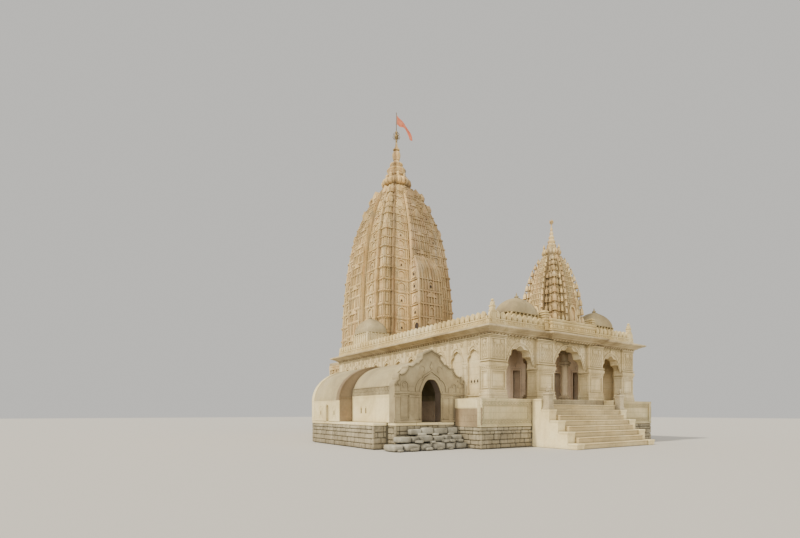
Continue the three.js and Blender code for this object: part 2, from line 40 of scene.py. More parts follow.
# ------------------------------------------------------------------ sizes, in metres
HX, HY = 7.15, 9.45                      # half width and half length of the hall
Z_BANK, Z_FLOOR, Z_WALL, Z_ROOF, Z_PAR = 1.2, 2.8, 6.75, 7.02, 7.74
TX, TY = 0.0, 11.05                      # axis of the great spire
TC = 4.2                                 # its half side at the corners
SX, SY, SC = 0.0, -7.93, 1.49            # the small spire
CX = -7.15                               # the side chambers lean on this wall


# ------------------------------------------------------------------ mesh building
class Plane:
    """Local (u, w, z): u runs along a wall to the viewer's right, w stands out of it, z is up."""

    def __init__(s, o, u, w):
        s.o, s.u, s.w = np.array(o, float), np.array(u, float), np.array(w, float)

    def map(s, p):
        p = np.asarray(p, float)
        return s.o + p[:, 0:1] * s.u + p[:, 1:2] * s.w + p[:, 2:3] * np.array([0, 0, 1.0])


def wall(o, q):
    """A wall seen from outside. q: 0 faces -Y, 1 faces +X, 2 faces +Y, 3 faces -X."""
    c, s = [1, 0, -1, 0][q], [0, 1, 0, -1][q]
    return Plane(o, (c, s, 0), (s, -c, 0))


WORLD = Plane((0, 0, 0), (1, 0, 0), (0, -1, 0))


def _box_templates():
    cs = [(x, y, z) for x in (0, 1) for y in (0, 1) for z in (0, 1)]
    plain = []
    for ax in range(3):
        for sd in (0, 1):
            ids = [i for i, c in enumerate(cs) if c[ax] == sd]
            a, b, c, d = ids
            plain.append([a, b, d, c])
    V = np.array(cs, float)

    def orient(V, F):
        cen = V.mean(0)
        out = []
        for f in F:
            p = V[list(f)]
            n = np.cross(p[1] - p[0], p[2] - p[0])
            out.append(list(f) if np.dot(n, p.mean(0) - cen) < 0 else list(f)[::-1])   # left-handed frame
        return out

    plain = orient(V, plain)
    k = 0.2
    W, idx = [], {}
    for i, c in enumerate(cs):
        for ax in range(3):
            p = [(k if v == 0 else 1 - k) for v in c]
            p[ax] = c[ax]
            idx[(i, ax)] = len(W)
            W.append(p)
    W = np.array(W, float)
    Q, T = [], []
    for ax in range(3):
        for sd in (0, 1):
            a, b, c, d = [i for i, q in enumerate(cs) if q[ax] == sd]
            Q.append([idx[(a, ax)], idx[(b, ax)], idx[(d, ax)], idx[(c, ax)]])
    for i, c in enumerate(cs):
        for ax in range(3):
            if c[ax] == 0:
                o = list(c); o[ax] = 1
                j = cs.index(tuple(o))
                b1, b2 = [x for x in range(3) if x != ax]
                Q.append([idx[(i, b1)], idx[(i, b2)], idx[(j, b2)], idx[(j, b1)]])
        T.append([idx[(i, 0)], idx[(i, 1)], idx[(i, 2)]])
    Q, T = orient(W, Q), orient(W, T)
    sel = np.array([[0 if W[i][a] in (0, 1) else 1 for a in range(3)] for i in range(24)])
    side = (W > 0.5).astype(float)
    return plain, np.array(cs, float), Q, T, side, sel


_PF, _PV, _CQ, _CT, _CS, _CI = _box_templates()
_PF, _CQ, _CT = np.array(_PF), np.array(_CQ), np.array(_CT)


class M:
    """Collects vertices and faces of one piece."""

    def __init__(s, name):
        s.name, s.V, s.Q, s.T, s.N, s.n = name, [], [], [], [], 0

    def _put(s, P):
        s.V.append(P); k = s.n; s.n += len(P); return k

    def box(s, fr, u0, u1, w0, w1, z0, z1, c=0.0, taper=None):
        lo, hi = np.array([u0, w0, z0], float), np.array([u1, w1, z1], float)
        if c:
            c = min(c, 0.45 * min(hi - lo))
            P = lo + _CS * (hi - lo) + np.where(_CS > 0.5, -1, 1) * _CI * c
            if taper is not None:
                P = taper(P)
            k = s._put(fr.map(P)); s.Q.append(_CQ + k); s.T.append(_CT + k)
        else:
            P = lo + _PV * (hi - lo)
            if taper is not None:
                P = taper(P)
            k = s._put(fr.map(P)); s.Q.append(_PF + k)

    def prism(s, fr, poly, w0, w1, back=True):
        """A polygon given as (u, z), anticlockwise as seen from outside, standing from w0 out to w1."""
        n = len(poly)
        a = sum(poly[i][0] * poly[(i + 1) % n][1] - poly[(i + 1) % n][0] * poly[i][1] for i in range(n))
        if a < 0:
            poly = poly[::-1]
        P = np.array([[p[0], w1, p[1]] for p in poly] + [[p[0], w0, p[1]] for p in poly])
        k = s._put(fr.map(P))
        s.N.append([k + i for i in range(n)])
        if back:
            s.N.append([k + n + i for i in range(n)][::-1])
        i = np.arange(n); j = (i + 1) % n
        s.Q.append(np.stack([i, i + n, j + n, j], 1) + k)

    def run(s, fr, prof, u0, u1, caps=True):
        """A section given as (w, z), anticlockwise with w to the right and z up, run along u."""
        n = len(prof)
        a = sum(prof[i][0] * prof[(i + 1) % n][1] - prof[(i + 1) % n][0] * prof[i][1] for i in range(n))
        if a < 0:
            prof = prof[::-1]
        P = np.array([[u0, p[0], p[1]] for p in prof] + [[u1, p[0], p[1]] for p in prof])
        k = s._put(fr.map(P))
        i = np.arange(n); j = (i + 1) % n
        s.Q.append(np.stack([i, j, j + n, i + n], 1)[:, ::-1] + k)
        if caps:
            s.N.append([k + i for i in range(n)])
            s.N.append([k + n + i for i in range(n)][::-1])

    def grid(s, P, closed_u=False, flip=False):
        """P is (rows, cols, 3) in the world."""
        r, c = P.shape[:2]
        k = s._put(P.reshape(-1, 3))
        i = np.arange(r - 1)[:, None]; j = np.arange(c if closed_u else c - 1)[None, :]
        j2 = (j + 1) % c
        q = np.stack(np.broadcast_arrays(i * c + j, i * c + j2, (i + 1) * c + j2, (i + 1) * c + j), -1).reshape(-1, 4)
        s.Q.append((q[:, ::-1] if flip else q) + k)
        return k

    def lathe(s, x, y, prof, n=24, lobes=0, depth=0.0, zr=None, phase=0.0, sx=1.0, sy=1.0):
        t = np.arange(n) / n * 2 * math.pi + phase
        rows = []
        for r, z in prof:
            f = 1.0
            if lobes:
                inside = 1.0 if zr is None else float(zr[0] <= z <= zr[1])
                f = 1 - depth * inside * (1 - np.abs(np.sin(t * lobes / 2)) ** 0.7)
            rr = max(r, 1e-4) * f * np.ones(n)
            rows.append(np.stack([x + rr * np.cos(t) * sx, y + rr * np.sin(t) * sy, np.full(n, z)], 1))
        k = s.grid(np.array(rows), closed_u=True)
        m = len(prof)
        s.N.append([k + i for i in range(n)][::-1])
        s.N.append([k + (m - 1) * n + i for i in range(n)])

    def sweep(s, path, prof):
        """prof as (out, z) anticlockwise; path as [(x, y, dx, dy)], out is along (dx, dy), going clockwise seen from above."""
        P = np.array([[[x + dx * o, y + dy * o, z] for o, z in prof] for x, y, dx, dy in path])
        r, c = P.shape[:2]
        k = s._put(P.reshape(-1, 3))
        i = np.arange(r - 1)[:, None]; j = np.arange(c)[None, :]; j2 = (j + 1) % c
        q = np.stack(np.broadcast_arrays(i * c + j, (i + 1) * c + j, (i + 1) * c + j2, i * c + j2), -1).reshape(-1, 4)
        s.Q.append(q + k)
        s.N.append([k + i for i in range(c)])
        s.N.append([k + (r - 1) * c + i for i in range(c)][::-1])

    def ring(s, fr, a, b, w0, w1, closed=False):
        """A band between two curves a and b, each a list of (u, z) with as many points, standing from w0 to w1."""
        n = len(a)
        P = np.array([[p[0], w1, p[1]] for p in a] + [[p[0], w1, p[1]] for p in b]
                     + [[p[0], w0, p[1]] for p in a] + [[p[0], w0, p[1]] for p in b])
        k = s._put(fr.map(P))
        i = np.arange(n if closed else n - 1); j = (i + 1) % n
        s.Q.append(np.stack([i, j, j + n, i + n], 1) + k)
        s.Q.append(np.stack([i, i + 2 * n, j + 2 * n, j], 1) + k)
        s.Q.append(np.stack([i + n, j + n, j + 3 * n, i + 3 * n], 1) + k)
        if not closed:
            s.Q.append(np.array([[0, n, 3 * n, 2 * n], [n - 1, 3 * n - 1, 4 * n - 1, 2 * n - 1]]) + k)

    def tris(s):
        return sum(len(q) * 2 for q in s.Q) + sum(len(t) for t in s.T) + sum(len(f) - 2 for f in s.N)

    def make(s, mat, nodes=(), slot=None, smooth=False, body="root", warp=None):
        V = np.concatenate(s.V)
        if warp is not None:
            V = warp(V)
        loops, starts, tot = [], [], 0
        for A, k in [(q, 4) for q in s.Q] + [(t, 3) for t in s.T]:
            if len(A):
                loops.append(np.asarray(A).reshape(-1)); starts.append(tot + np.arange(len(A)) * k); tot += len(A) * k
        for f in s.N:
            loops.append(np.array(f)); starts.append(np.array([tot])); tot += len(f)
        L, S = np.concatenate(loops).astype(np.int32), np.concatenate(starts).astype(np.int32)
        me = bpy.data.meshes.new(s.name)
        me.vertices.add(len(V)); me.vertices.foreach_set("co", V.astype(np.float32).ravel())
        me.loops.add(len(L)); me.loops.foreach_set("vertex_index", L)
        me.polygons.add(len(S)); me.polygons.foreach_set("loop_start", S)
        me.update(calc_edges=True); me.validate()
        me.shade_smooth() if smooth else me.shade_flat()
        if smooth:
            me.set_sharp_from_angle(angle=math.radians(38))
        o = bpy.data.objects.new(s.name, me)
        bpy.context.scene.collection.objects.link(o)
        me.materials.append(mat)
        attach(o, body)
        if nodes:
            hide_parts(*nodes)
        TRIS[s.name] = s.tris()
        return o


TRIS = {}


def settle(far, ax, ay, foot):
    """Brings a spire drawn on straight sight lines to its real height and taper: far is its distance, foot the heights kept."""
    T, S = math.tan(math.radians(10)), 1 / math.cos(math.radians(10))

    def f(V):
        t = (V[:, 2] - 2.03) / far
        z = 2.03 + far * t * S / (1 + t * T)
        s = 1 / (1 + t * T)
        if foot is None:
            t0 = (7.02 - 2.03) / far
            z = z + 7.02 - (2.03 + far * t0 * S / (1 + t0 * T))
        else:
            z = np.where(V[:, 2] < foot[0][-1], np.interp(V[:, 2], foot[0], foot[1]), z)
        return np.stack([ax + (V[:, 0] - ax) * s, ay + (V[:, 1] - ay) * s, z], 1)
    return f


GREAT_FIT = settle(47.2, TX, TY, None)


def cusped(xc, half, spring, apex, foils=5, seg=7, bulge=0.3):
    """The lower edge of a cusped arch from its left springing to its right one, as (u, z)."""
    def main(u):
        t = abs(u * 2 - 1)
        return np.array([xc + (-1 if u < 0.5 else 1) * half * t ** 0.78, spring + (apex - spring) * (1 - t ** 1.75)])
    pts = []
    for k in range(foils):
        a, b = main(k / foils), main((k + 1) / foils)
        d = b - a; l = np.hypot(*d); n = np.array([-d[1], d[0]]) / l
        for i in range(seg):
            t = i / seg
            pts.append(tuple(a + d * t + n * math.sin(math.pi * t) * l * bulge))
    pts.append(tuple(main(1.0)))
    return pts


def pointed(xc, half, spring, apex, n=14, p=0.62, q=1.7):
    out = []
    for i in range(n + 1):
        u = i / n; t = abs(2 * u - 1)
        out.append((xc + (-1 if u < 0.5 else 1) * half * (t ** p if t > 0 else 0), spring + (apex - spring) * (1 - t ** q)))
    return out


def ogee(xc, half, spring, apex, n=16):
    """A pointed outline that turns outward at its tip."""
    out = []
    for i in range(n + 1):
        u = i / n * 2 - 1; t = abs(u)
        z = spring + (apex - spring) * (0.78 * math.sqrt(max(0, 1 - t ** 2.2)) + 0.22 * (1 - t) ** 3)
        out.append((xc + u * half, z))
    return out


def scaled(c, xc, zc, k, kz=None):
    kz = k if kz is None else kz
    return [(xc + (u - xc) * k, zc + (z - zc) * kz) for u, z in c]


# ------------------------------------------------------------------ materials
def rgb(r, g, b):
    """sRGB 0-255 to linear."""
    f = lambda v: v / 255 / 12.92 if v / 255 <= 0.04045 else ((v / 255 + 0.055) / 1.055) ** 2.4
    return (f(r), f(g), f(b), 1.0)


ALBEDO = 0.92                                # share of the painted tones that the masonry reflects


def stone(name, light, mid, dark, stain, grain=0.5, streak=0.6, patch=0.32, rough=0.9, bump=0.25,
          low=None, hollow_shade=0.65, course=None, speck=0.0, painted_light_and_shade_belts=None, tints=False):
    light, mid, dark, stain = [tuple(v * ALBEDO for v in c[:3]) + (1,) for c in (light, mid, dark, stain)]
    m = bpy.data.materials.new(name)
    m.use_nodes = True
    nt = m.node_tree; N, L = nt.nodes, nt.links
    N.clear()
    out = N.new("ShaderNodeOutputMaterial"); bs = N.new("ShaderNodeBsdfPrincipled")
    L.new(bs.outputs[0], out.inputs[0])
    bs.inputs["Specular IOR Level"].default_value = 0.25
    co = N.new("ShaderNodeTexCoord").outputs["Object"]

    def noise(scale, detail=4.0, rough_=0.55, vec=None, dist=0.0):
        n = N.new("ShaderNodeTexNoise"); n.inputs["Scale"].default_value = scale
        n.inputs["Detail"].default_value = detail; n.inputs["Roughness"].default_value = rough_
        n.inputs["Distortion"].default_value = dist
        L.new(vec or co, n.inputs["Vector"]); return n.outputs["Fac"]

    def ramp(fac, stops):
        r = N.new("ShaderNodeValToRGB"); e = r.color_ramp.elements
        while len(e) < len(stops):
            e.new(0.5)
        for el, (p, c) in zip(e, stops):
            el.position = p; el.color = c
        L.new(fac, r.inputs["Fac"]); return r.outputs["Color"]

    def mix(a, b, fac, mode="MIX"):
        x = N.new("ShaderNodeMix"); x.data_type = "RGBA"; x.blend_type = mode
        for sock, v in ((x.inputs["A"], a), (x.inputs["B"], b), (x.inputs["Factor"], fac)):
            if hasattr(v, "is_linked") or hasattr(v, "links"):
                L.new(v, sock)
            else:
                sock.default_value = v
        return x.outputs["Result"]

    def math_(op, a, b=0.0):
        x = N.new("ShaderNodeMath"); x.operation = op
        for i, v in enumerate((a, b)):
            if hasattr(v, "links"):
                L.new(v, x.inputs[i])
            else:
                x.inputs[i].default_value = v
        return x.outputs[0]

    def scaled_co(sx, sy, sz):
        mp = N.new("ShaderNodeMapping"); mp.inputs["Scale"].default_value = (sx, sy, sz)
        L.new(co, mp.inputs["Vector"]); return mp.outputs[0]

    W, K = (1, 1, 1, 1), (0, 0, 0, 1)
    big = noise(patch, 5.0, 0.6, dist=0.6)
    col = ramp(big, [(0.30, dark), (0.47, mid), (0.66, light)])
    # washes of a second tint, broad and soft
    wash = ramp(noise(0.85, 3.0, 0.5, scaled_co(1, 1, 0.6), 0.8), [(0.45, K), (0.7, W)])
    col = mix(col, stain, math_("MULTIPLY", wash, 0.35))
    # rain streaks down the faces
    st = ramp(noise(1.0, 6.0, 0.62, scaled_co(3.2, 3.2, 0.22), 0.3), [(0.48, K), (0.72, W)])
    st2 = ramp(noise(1.0, 3.0, 0.5, scaled_co(0.5, 0.5, 0.35)), [(0.35, K), (0.65, W)])
    sfac = math_("MULTIPLY", math_("MULTIPLY", st, st2), streak)
    col = mix(col, stain, sfac)
    # fine grain
    fine = noise(9.0, 8.0, 0.65)
    fcol = ramp(fine, [(0.3, (0.80, 0.79, 0.77, 1)), (0.7, (1.13, 1.13, 1.12, 1))])
    col = mix(col, fcol, grain, "MULTIPLY")
    if speck:
        sp = ramp(noise(3.1, 7.0, 0.7, dist=1.2), [(0.60, K), (0.70, W)])
        col = mix(col, dark, math_("MULTIPLY", sp, speck))
    if tints:                                 # narrow upright stains: ochre, rose and grey
        tn = ramp(noise(1.0, 4.0, 0.6, scaled_co(1.7, 1.7, 0.14), 0.25), [(0.30, (0.80, 0.80, 0.82, 1)), (0.40, (1, 1, 1, 1)), (0.47, (1.0, 0.92, 0.74, 1)), (0.53, (1.02, 1.0, 0.96, 1)), (0.60, (0.98, 0.85, 0.76, 1)), (0.68, (1, 0.98, 0.94, 1)), (0.78, (0.76, 0.75, 0.74, 1))])
        col = mix(col, tn, 0.9, "MULTIPLY")
        tn2 = ramp(noise(1.0, 3.0, 0.5, scaled_co(5.0, 5.0, 0.5), 0.2), [(0.40, (1, 1, 1, 1)), (0.62, (0.80, 0.74, 0.66, 1))])
        col = mix(col, tn2, 0.7, "MULTIPLY")
    if painted_light_and_shade_belts is not None:                     # upright belts of painted light and painted shade, measured across the spire: paler belts on faces in shade, darker belts beside them
        ax, ay, stops, shades, lean, loose = painted_light_and_shade_belts
        sp3 = N.new("ShaderNodeSeparateXYZ"); L.new(co, sp3.inputs[0])
        across = math_("ADD", math_("MULTIPLY", math_("SUBTRACT", sp3.outputs["X"], ax), 0.835), math_("MULTIPLY", math_("SUBTRACT", sp3.outputs["Y"], ay), -0.55))
        across = math_("ADD", across, math_("MULTIPLY", math_("SUBTRACT", noise(1.0, 4.0, 0.6, scaled_co(1.2, 1.2, 0.35)), 0.5), loose))
        if lean:                              # the belts draw in with height
            kf = N.new("ShaderNodeMapRange"); kf.inputs["From Min"].default_value = lean[0]; kf.inputs["From Max"].default_value = lean[1]
            kf.inputs["To Min"].default_value = 1.0; kf.inputs["To Max"].default_value = lean[2]
            L.new(sp3.outputs["Z"], kf.inputs["Value"]); across = math_("DIVIDE", across, kf.outputs[0])
        unit = N.new("ShaderNodeMapRange"); unit.inputs["From Min"].default_value = stops[0]; unit.inputs["From Max"].default_value = stops[-1]
        L.new(across, unit.inputs["Value"])
        rp = ramp(unit.outputs[0], [((v - stops[0]) / (stops[-1] - stops[0]), tuple(t) + (1,)) for v, t in zip(stops, shades)])
        col = mix(col, rp, 1.0, "MULTIPLY")
    if low is not None:                       # darker and greener towards the ground
        sep = N.new("ShaderNodeSeparateXYZ"); L.new(co, sep.inputs[0])
        mr = N.new("ShaderNodeMapRange"); mr.inputs["From Min"].default_value = low[0]; mr.inputs["From Max"].default_value = low[1]
        mr.inputs["To Min"].default_value = 1; mr.inputs["To Max"].default_value = 0
        L.new(math_("ADD", sep.outputs["Z"], math_("MULTIPLY", noise(0.7, 4), 1.2)), mr.inputs["Value"])
        col = mix(col, tuple(v * ALBEDO for v in low[2][:3]) + (1,), math_("MULTIPLY", mr.outputs[0], low[3]))
    if hollow_shade:                                # painted shade in the hollows and joints: the colour darkens where ambient occlusion is high
        ao = N.new("ShaderNodeAmbientOcclusion"); ao.samples = 6; ao.inputs["Distance"].default_value = 0.35
        hollow_shade_mask = ramp(ao.outputs["AO"], [(0.35, W), (0.92, K)])
        tint = tuple(v * 0.5 for v in dark[:3]) + (1,)
        col = mix(col, tint, math_("MULTIPLY", hollow_shade_mask, hollow_shade))
    L.new(col, bs.inputs["Base Color"])
    rg = N.new("ShaderNodeMapRange"); rg.inputs["To Min"].default_value = rough - 0.1; rg.inputs["To Max"].default_value = min(1, rough + 0.08)
    L.new(fine, rg.inputs["Value"]); L.new(rg.outputs[0], bs.inputs["Roughness"])
    b = N.new("ShaderNodeBump"); b.inputs["Strength"].default_value = bump; b.inputs["Distance"].default_value = 0.04
    h = math_("ADD", math_("MULTIPLY", noise(14.0, 6.0, 0.6), 0.6), math_("MULTIPLY", noise(3.0, 5.0, 0.55), 0.9))
    if course:
        sep = N.new("ShaderNodeSeparateXYZ"); L.new(co, sep.inputs[0])
        cb = N.new("ShaderNodeCombineXYZ")
        L.new(math_("ADD", sep.outputs["X"], sep.outputs["Y"]), cb.inputs[0]); L.new(sep.outputs["Z"], cb.inputs[1])
        br = N.new("ShaderNodeTexBrick"); br.inputs["Scale"].default_value = 1.0
        br.inputs["Brick Width"].default_value = course[0]; br.inputs["Row Height"].default_value = course[1]
        br.inputs["Mortar Size"].default_value = 0.012; br.inputs["Mortar Smooth"].default_value = 0.4
        br.inputs["Color1"].default_value = (1, 1, 1, 1); br.inputs["Color2"].default_value = (0.86, 0.86, 0.86, 1); br.inputs["Mortar"].default_value = (0, 0, 0, 1)
        L.new(cb.outputs[0], br.inputs["Vector"])
        h = math_("ADD", h, math_("MULTIPLY", br.outputs["Fac"], -1.6))
        col2 = mix(col, tuple(v * 0.6 for v in dark[:3]) + (1,), math_("MULTIPLY", br.outputs["Fac"], 0.45))
        col2 = mix(col2, br.outputs["Color"], 0.35, "MULTIPLY") if course[2] else col2
        L.new(col2, bs.inputs["Base Color"])
    L.new(h, b.inputs["Height"]); L.new(b.outputs[0], bs.inputs["Normal"])
    return m


GREY = rgb(150, 148, 128)
MAT = {
    "hall": stone("hall_plaster", rgb(240, 226, 188), rgb(228, 208, 162), rgb(196, 176, 132), rgb(176, 158, 122), course=(1.1, 0.42, False)),
    "merlon": stone("parapet_plaster", rgb(242, 226, 182), rgb(228, 204, 148), rgb(192, 168, 116), rgb(170, 150, 108)),
    "plinth": stone("plinth_stone", rgb(231, 215, 172), rgb(212, 194, 150), rgb(176, 160, 122), rgb(170, 166, 132), course=(1.0, 0.4, False), low=(1.2, 3.0, rgb(150, 150, 122), 0.3)),
    "rubble": stone("rubble_stone", rgb(188, 178, 152), rgb(160, 150, 126), rgb(118, 110, 92), rgb(132, 122, 94), patch=1.1, bump=0.6, speck=0.5, low=(0.0, 1.6, rgb(122, 104, 76), 0.6)),
    "roof": stone("roof_plaster", rgb(220, 203, 164), rgb(195, 176, 138), rgb(140, 122, 92), rgb(120, 104, 82), streak=0.4),
    "dome": stone("dome_plaster", rgb(194, 179, 142), rgb(172, 155, 118), rgb(132, 118, 94), rgb(118, 108, 90), streak=0.7, hollow_shade=0.5),
    "vault": stone("vault_plaster", rgb(206, 192, 156), rgb(188, 173, 134), rgb(158, 144, 110), rgb(158, 148, 124), streak=0.7, hollow_shade=0.5),
    # both spire stones carry belts of painted light and painted shade across their faces
    "tower": stone("spire_stone", rgb(244, 226, 186), rgb(226, 204, 158), rgb(184, 162, 122), rgb(156, 148, 126), grain=0.7, streak=0.95, patch=0.22, hollow_shade=0.8, speck=0.35,
                   painted_light_and_shade_belts=(0.0, 11.05, (-5.6, -3.4, -0.75, -0.45, -0.1, 0.15, 1.75, 2.1), ((0.93, 0.90, 0.84), (1.0, 0.95, 0.86), (0.97, 0.92, 0.84), (0.52, 0.46, 0.42), (0.54, 0.48, 0.44), (1.24, 1.19, 1.10), (1.18, 1.12, 1.02), (0.72, 0.68, 0.68)), (9.0, 25.0, 0.42), 0.45), tints=True),
    "minor": stone("small_spire_stone", rgb(246, 230, 192), rgb(230, 210, 166), rgb(186, 164, 124), rgb(156, 148, 122), grain=0.7, streak=0.8, patch=0.5, hollow_shade=0.8, speck=0.4,
                   painted_light_and_shade_belts=(0.0, -7.93, (-2.4, -1.12, -0.95, -0.62, 0.3, 0.6, 0.85, 2.2), ((1.04, 1.0, 0.92), (1.04, 1.0, 0.92), (0.55, 0.49, 0.45), (0.70, 0.65, 0.60), (1.0, 0.97, 0.9), (0.60, 0.55, 0.52), (1.02, 1.0, 0.95), (1.08, 1.05, 0.98)), (8.0, 12.4, 0.42), 0.25), tints=True),
    "chamber": stone("chamber_plaster", rgb(248, 235, 194), rgb(238, 221, 172), rgb(208, 190, 144), rgb(200, 178, 132), streak=0.35, hollow_shade=0.5),
    # grey-brown plaster for the portal and the frieze under the front vault: partly its own tone, partly painted shade,
    # darker so the shaded front reads darker than the lit walls
    "portal": stone("portal_plaster", rgb(184, 170, 136), rgb(162, 147, 115), rgb(138, 124, 98), rgb(136, 128, 104), streak=0.5, patch=0.6),
    "steps": stone("step_stone", rgb(237, 218, 172), rgb(220, 198, 150), rgb(184, 168, 132), rgb(172, 158, 128), streak=0.2, bump=0.35),
    # near-white plaster for walls inside the porch, the hall and the chambers: painted light, lighter than the outer
    # plaster so these shaded faces read bright
    "inner": stone("inner_plaster_painted_light", rgb(255, 236, 206), rgb(246, 220, 190), rgb(214, 186, 156), rgb(206, 180, 150)),
    "column": stone("column_stone", rgb(196, 178, 148), rgb(180, 160, 130), rgb(140, 122, 98), rgb(132, 116, 94)),
    "statue": stone("carved_stone", rgb(236, 224, 194), rgb(216, 200, 164), rgb(176, 160, 128), rgb(160, 148, 122), hollow_shade=0.8),
    # brown stone: painted shade, for the rear chamber's shaded front wall and the plinth end in the portal's shadow
    "painted_shade_brown": stone("brown_painted_shade_stone", rgb(175, 155, 124), rgb(152, 132, 104), rgb(130, 112, 88), rgb(126, 116, 92), streak=0.5),
    "rough": stone("rough_slabs", rgb(190, 186, 170), rgb(158, 154, 140), rgb(116, 112, 102), rgb(140, 130, 102), patch=0.8, bump=0.6, speck=0.4, low=(0.0, 1.0, rgb(126, 108, 80), 0.5)),
    "cheek": stone("cheek_plaster", rgb(254, 243, 202), rgb(248, 231, 182), rgb(224, 204, 156), rgb(204, 176, 128), streak=0.3, hollow_shade=0.5),
    # dark plaster lining the portal door's reveal: painted shade in the jamb
    "reveal": stone("reveal_plaster", rgb(112, 98, 84), rgb(92, 80, 70), rgb(84, 70, 56), rgb(90, 78, 60)),
    "floor": stone("floor_stone", rgb(200, 186, 154), rgb(178, 164, 132), rgb(146, 132, 106), rgb(138, 126, 102), course=(1.2, 0.8, True)),
}


# dark plates set into small holes and niches: painted shade standing for the hollow behind them
def painted_hole_shade_material():
    m = bpy.data.materials.new("painted_shade_in_holes"); m.use_nodes = True
    N, L = m.node_tree.nodes, m.node_tree.links
    bs = N["Principled BSDF"]; bs.inputs["Roughness"].default_value = 0.95
    n = N.new("ShaderNodeTexNoise"); n.inputs["Scale"].default_value = 6
    r = N.new("ShaderNodeValToRGB"); r.color_ramp.elements[0].color = rgb(46, 38, 34); r.color_ramp.elements[1].color = rgb(74, 62, 52)
    L.new(n.outputs["Fac"], r.inputs["Fac"]); L.new(r.outputs[0], bs.inputs["Base Color"])
    return m


def metal_material():
    m = bpy.data.materials.new("gilt_metal"); m.use_nodes = True
    N, L = m.node_tree.nodes, m.node_tree.links
    bs = N["Principled BSDF"]; bs.inputs["Metallic"].default_value = 0.75
    n = N.new("ShaderNodeTexNoise"); n.inputs["Scale"].default_value = 5; n.inputs["Detail"].default_value = 6
    r = N.new("ShaderNodeValToRGB"); r.color_ramp.elements[0].position = 0.35; r.color_ramp.elements[0].color = rgb(112, 100, 74)
    r.color_ramp.elements[1].position = 0.65; r.color_ramp.elements[1].color = rgb(176, 148, 96)
    L.new(n.outputs["Fac"], r.inputs["Fac"]); L.new(r.outputs[0], bs.inputs["Base Color"])
    mr = N.new("ShaderNodeMapRange"); mr.inputs["To Min"].default_value = 0.42; mr.inputs["To Max"].default_value = 0.7
    L.new(n.outputs["Fac"], mr.inputs["Value"]); L.new(mr.outputs[0], bs.inputs["Roughness"])
    b = N.new("ShaderNodeBump"); b.inputs["Strength"].default_value = 0.3; b.inputs["Distance"].default_value = 0.01
    L.new(n.outputs["Fac"], b.inputs["Height"]); L.new(b.outputs[0], bs.inputs["Normal"])
    return m


def wood_material():
    m = bpy.data.materials.new("pole_wood"); m.use_nodes = True
    N, L = m.node_tree.nodes, m.node_tree.links
    bs = N["Principled BSDF"]; bs.inputs["Roughness"].default_value = 0.8
    tc = N.new("ShaderNodeTexCoord"); mp = N.new("ShaderNodeMapping"); mp.inputs["Scale"].default_value = (60, 60, 2)
    n = N.new("ShaderNodeTexNoise"); n.inputs["Scale"].default_value = 1; n.inputs["Detail"].default_value = 6
    L.new(tc.outputs["Object"], mp.inputs[0]); L.new(mp.outputs[0], n.inputs["Vector"])
    r = N.new("ShaderNodeValToRGB"); r.color_ramp.elements[0].color = rgb(84, 68, 50); r.color_ramp.elements[1].color = rgb(140, 118, 90)
    L.new(n.outputs["Fac"], r.inputs["Fac"]); L.new(r.outputs[0], bs.inputs["Base Color"])
    b = N.new("ShaderNodeBump"); b.inputs["Strength"].default_value = 0.4; b.inputs["Distance"].default_value = 0.004
    L.new(n.outputs["Fac"], b.inputs["Height"]); L.new(b.outputs[0], bs.inputs["Normal"])
    return m


def cloth_material():
    m = bpy.data.materials.new("flag_cloth"); m.use_nodes = True
    N, L = m.node_tree.nodes, m.node_tree.links
    bs = N["Principled BSDF"]; bs.inputs["Roughness"].default_value = 0.85
    bs.inputs["Sheen Weight"].default_value = 0.3
    tc = N.new("ShaderNodeTexCoord")
    w1 = N.new("ShaderNodeTexWave"); w1.bands_direction = "X"; w1.inputs["Scale"].default_value = 90
    w2 = N.new("ShaderNodeTexWave"); w2.bands_direction = "Z"; w2.inputs["Scale"].default_value = 90
    n = N.new("ShaderNodeTexNoise"); n.inputs["Scale"].default_value = 2.2; n.inputs["Detail"].default_value = 5
    for x in (w1, w2, n):
        L.new(tc.outputs["Object"], x.inputs["Vector"])
    r = N.new("ShaderNodeValToRGB"); r.color_ramp.elements[0].position = 0.3; r.color_ramp.elements[0].color = rgb(206, 96, 66)
    r.color_ramp.elements[1].position = 0.7; r.color_ramp.elements[1].color = rgb(236, 150, 112)
    L.new(n.outputs["Fac"], r.inputs["Fac"]); L.new(r.outputs[0], bs.inputs["Base Color"])
    a = N.new("ShaderNodeMath"); a.operation = "ADD"; L.new(w1.outputs["Fac"], a.inputs[0]); L.new(w2.outputs["Fac"], a.inputs[1])
    b = N.new("ShaderNodeBump"); b.inputs["Strength"].default_value = 0.25; b.inputs["Distance"].default_value = 0.002
    L.new(a.outputs[0], b.inputs["Height"]); L.new(b.outputs[0], bs.inputs["Normal"])
    return m


MAT.update(dark=painted_hole_shade_material(), metal=metal_material(), wood=wood_material(), cloth=cloth_material())


# ------------------------------------------------------------------ great spire
K_GREAT = [(7.02, 1), (8.8, 1), (11.5, .993), (13.4, .975), (15.2, .952), (17.4, .906), (18.8, .866), (20.0, .815), (21.4, .74),
           (22.7, .648), (23.7, .562), (24.6, .472), (25.2, .39), (25.6, .33), (25.9, .275)]
K_SMALL = [(7.75, 1), (8.46, .988), (9.17, .943), (9.87, .88), (10.51, .795), (11.16, .68), (11.7, .56), (12.08, .455), (12.35, .36)]
PROW = [(7.02, 1.35, 1.6), (14.34, 1.35, 1.6), (15.32, 1.333, 1.49), (16.08, 1.263, 1.242), (16.63, 1.139, 0.907), (17.01, 0.95, 0.549), (17.28, 0.74, 0.233)]


def lerp_table(t, col=1):
    zs = np.array([r[0] for r in t]); ks = np.array([r[col] for r in t], float)
    return lambda z: np.interp(z, zs, ks)


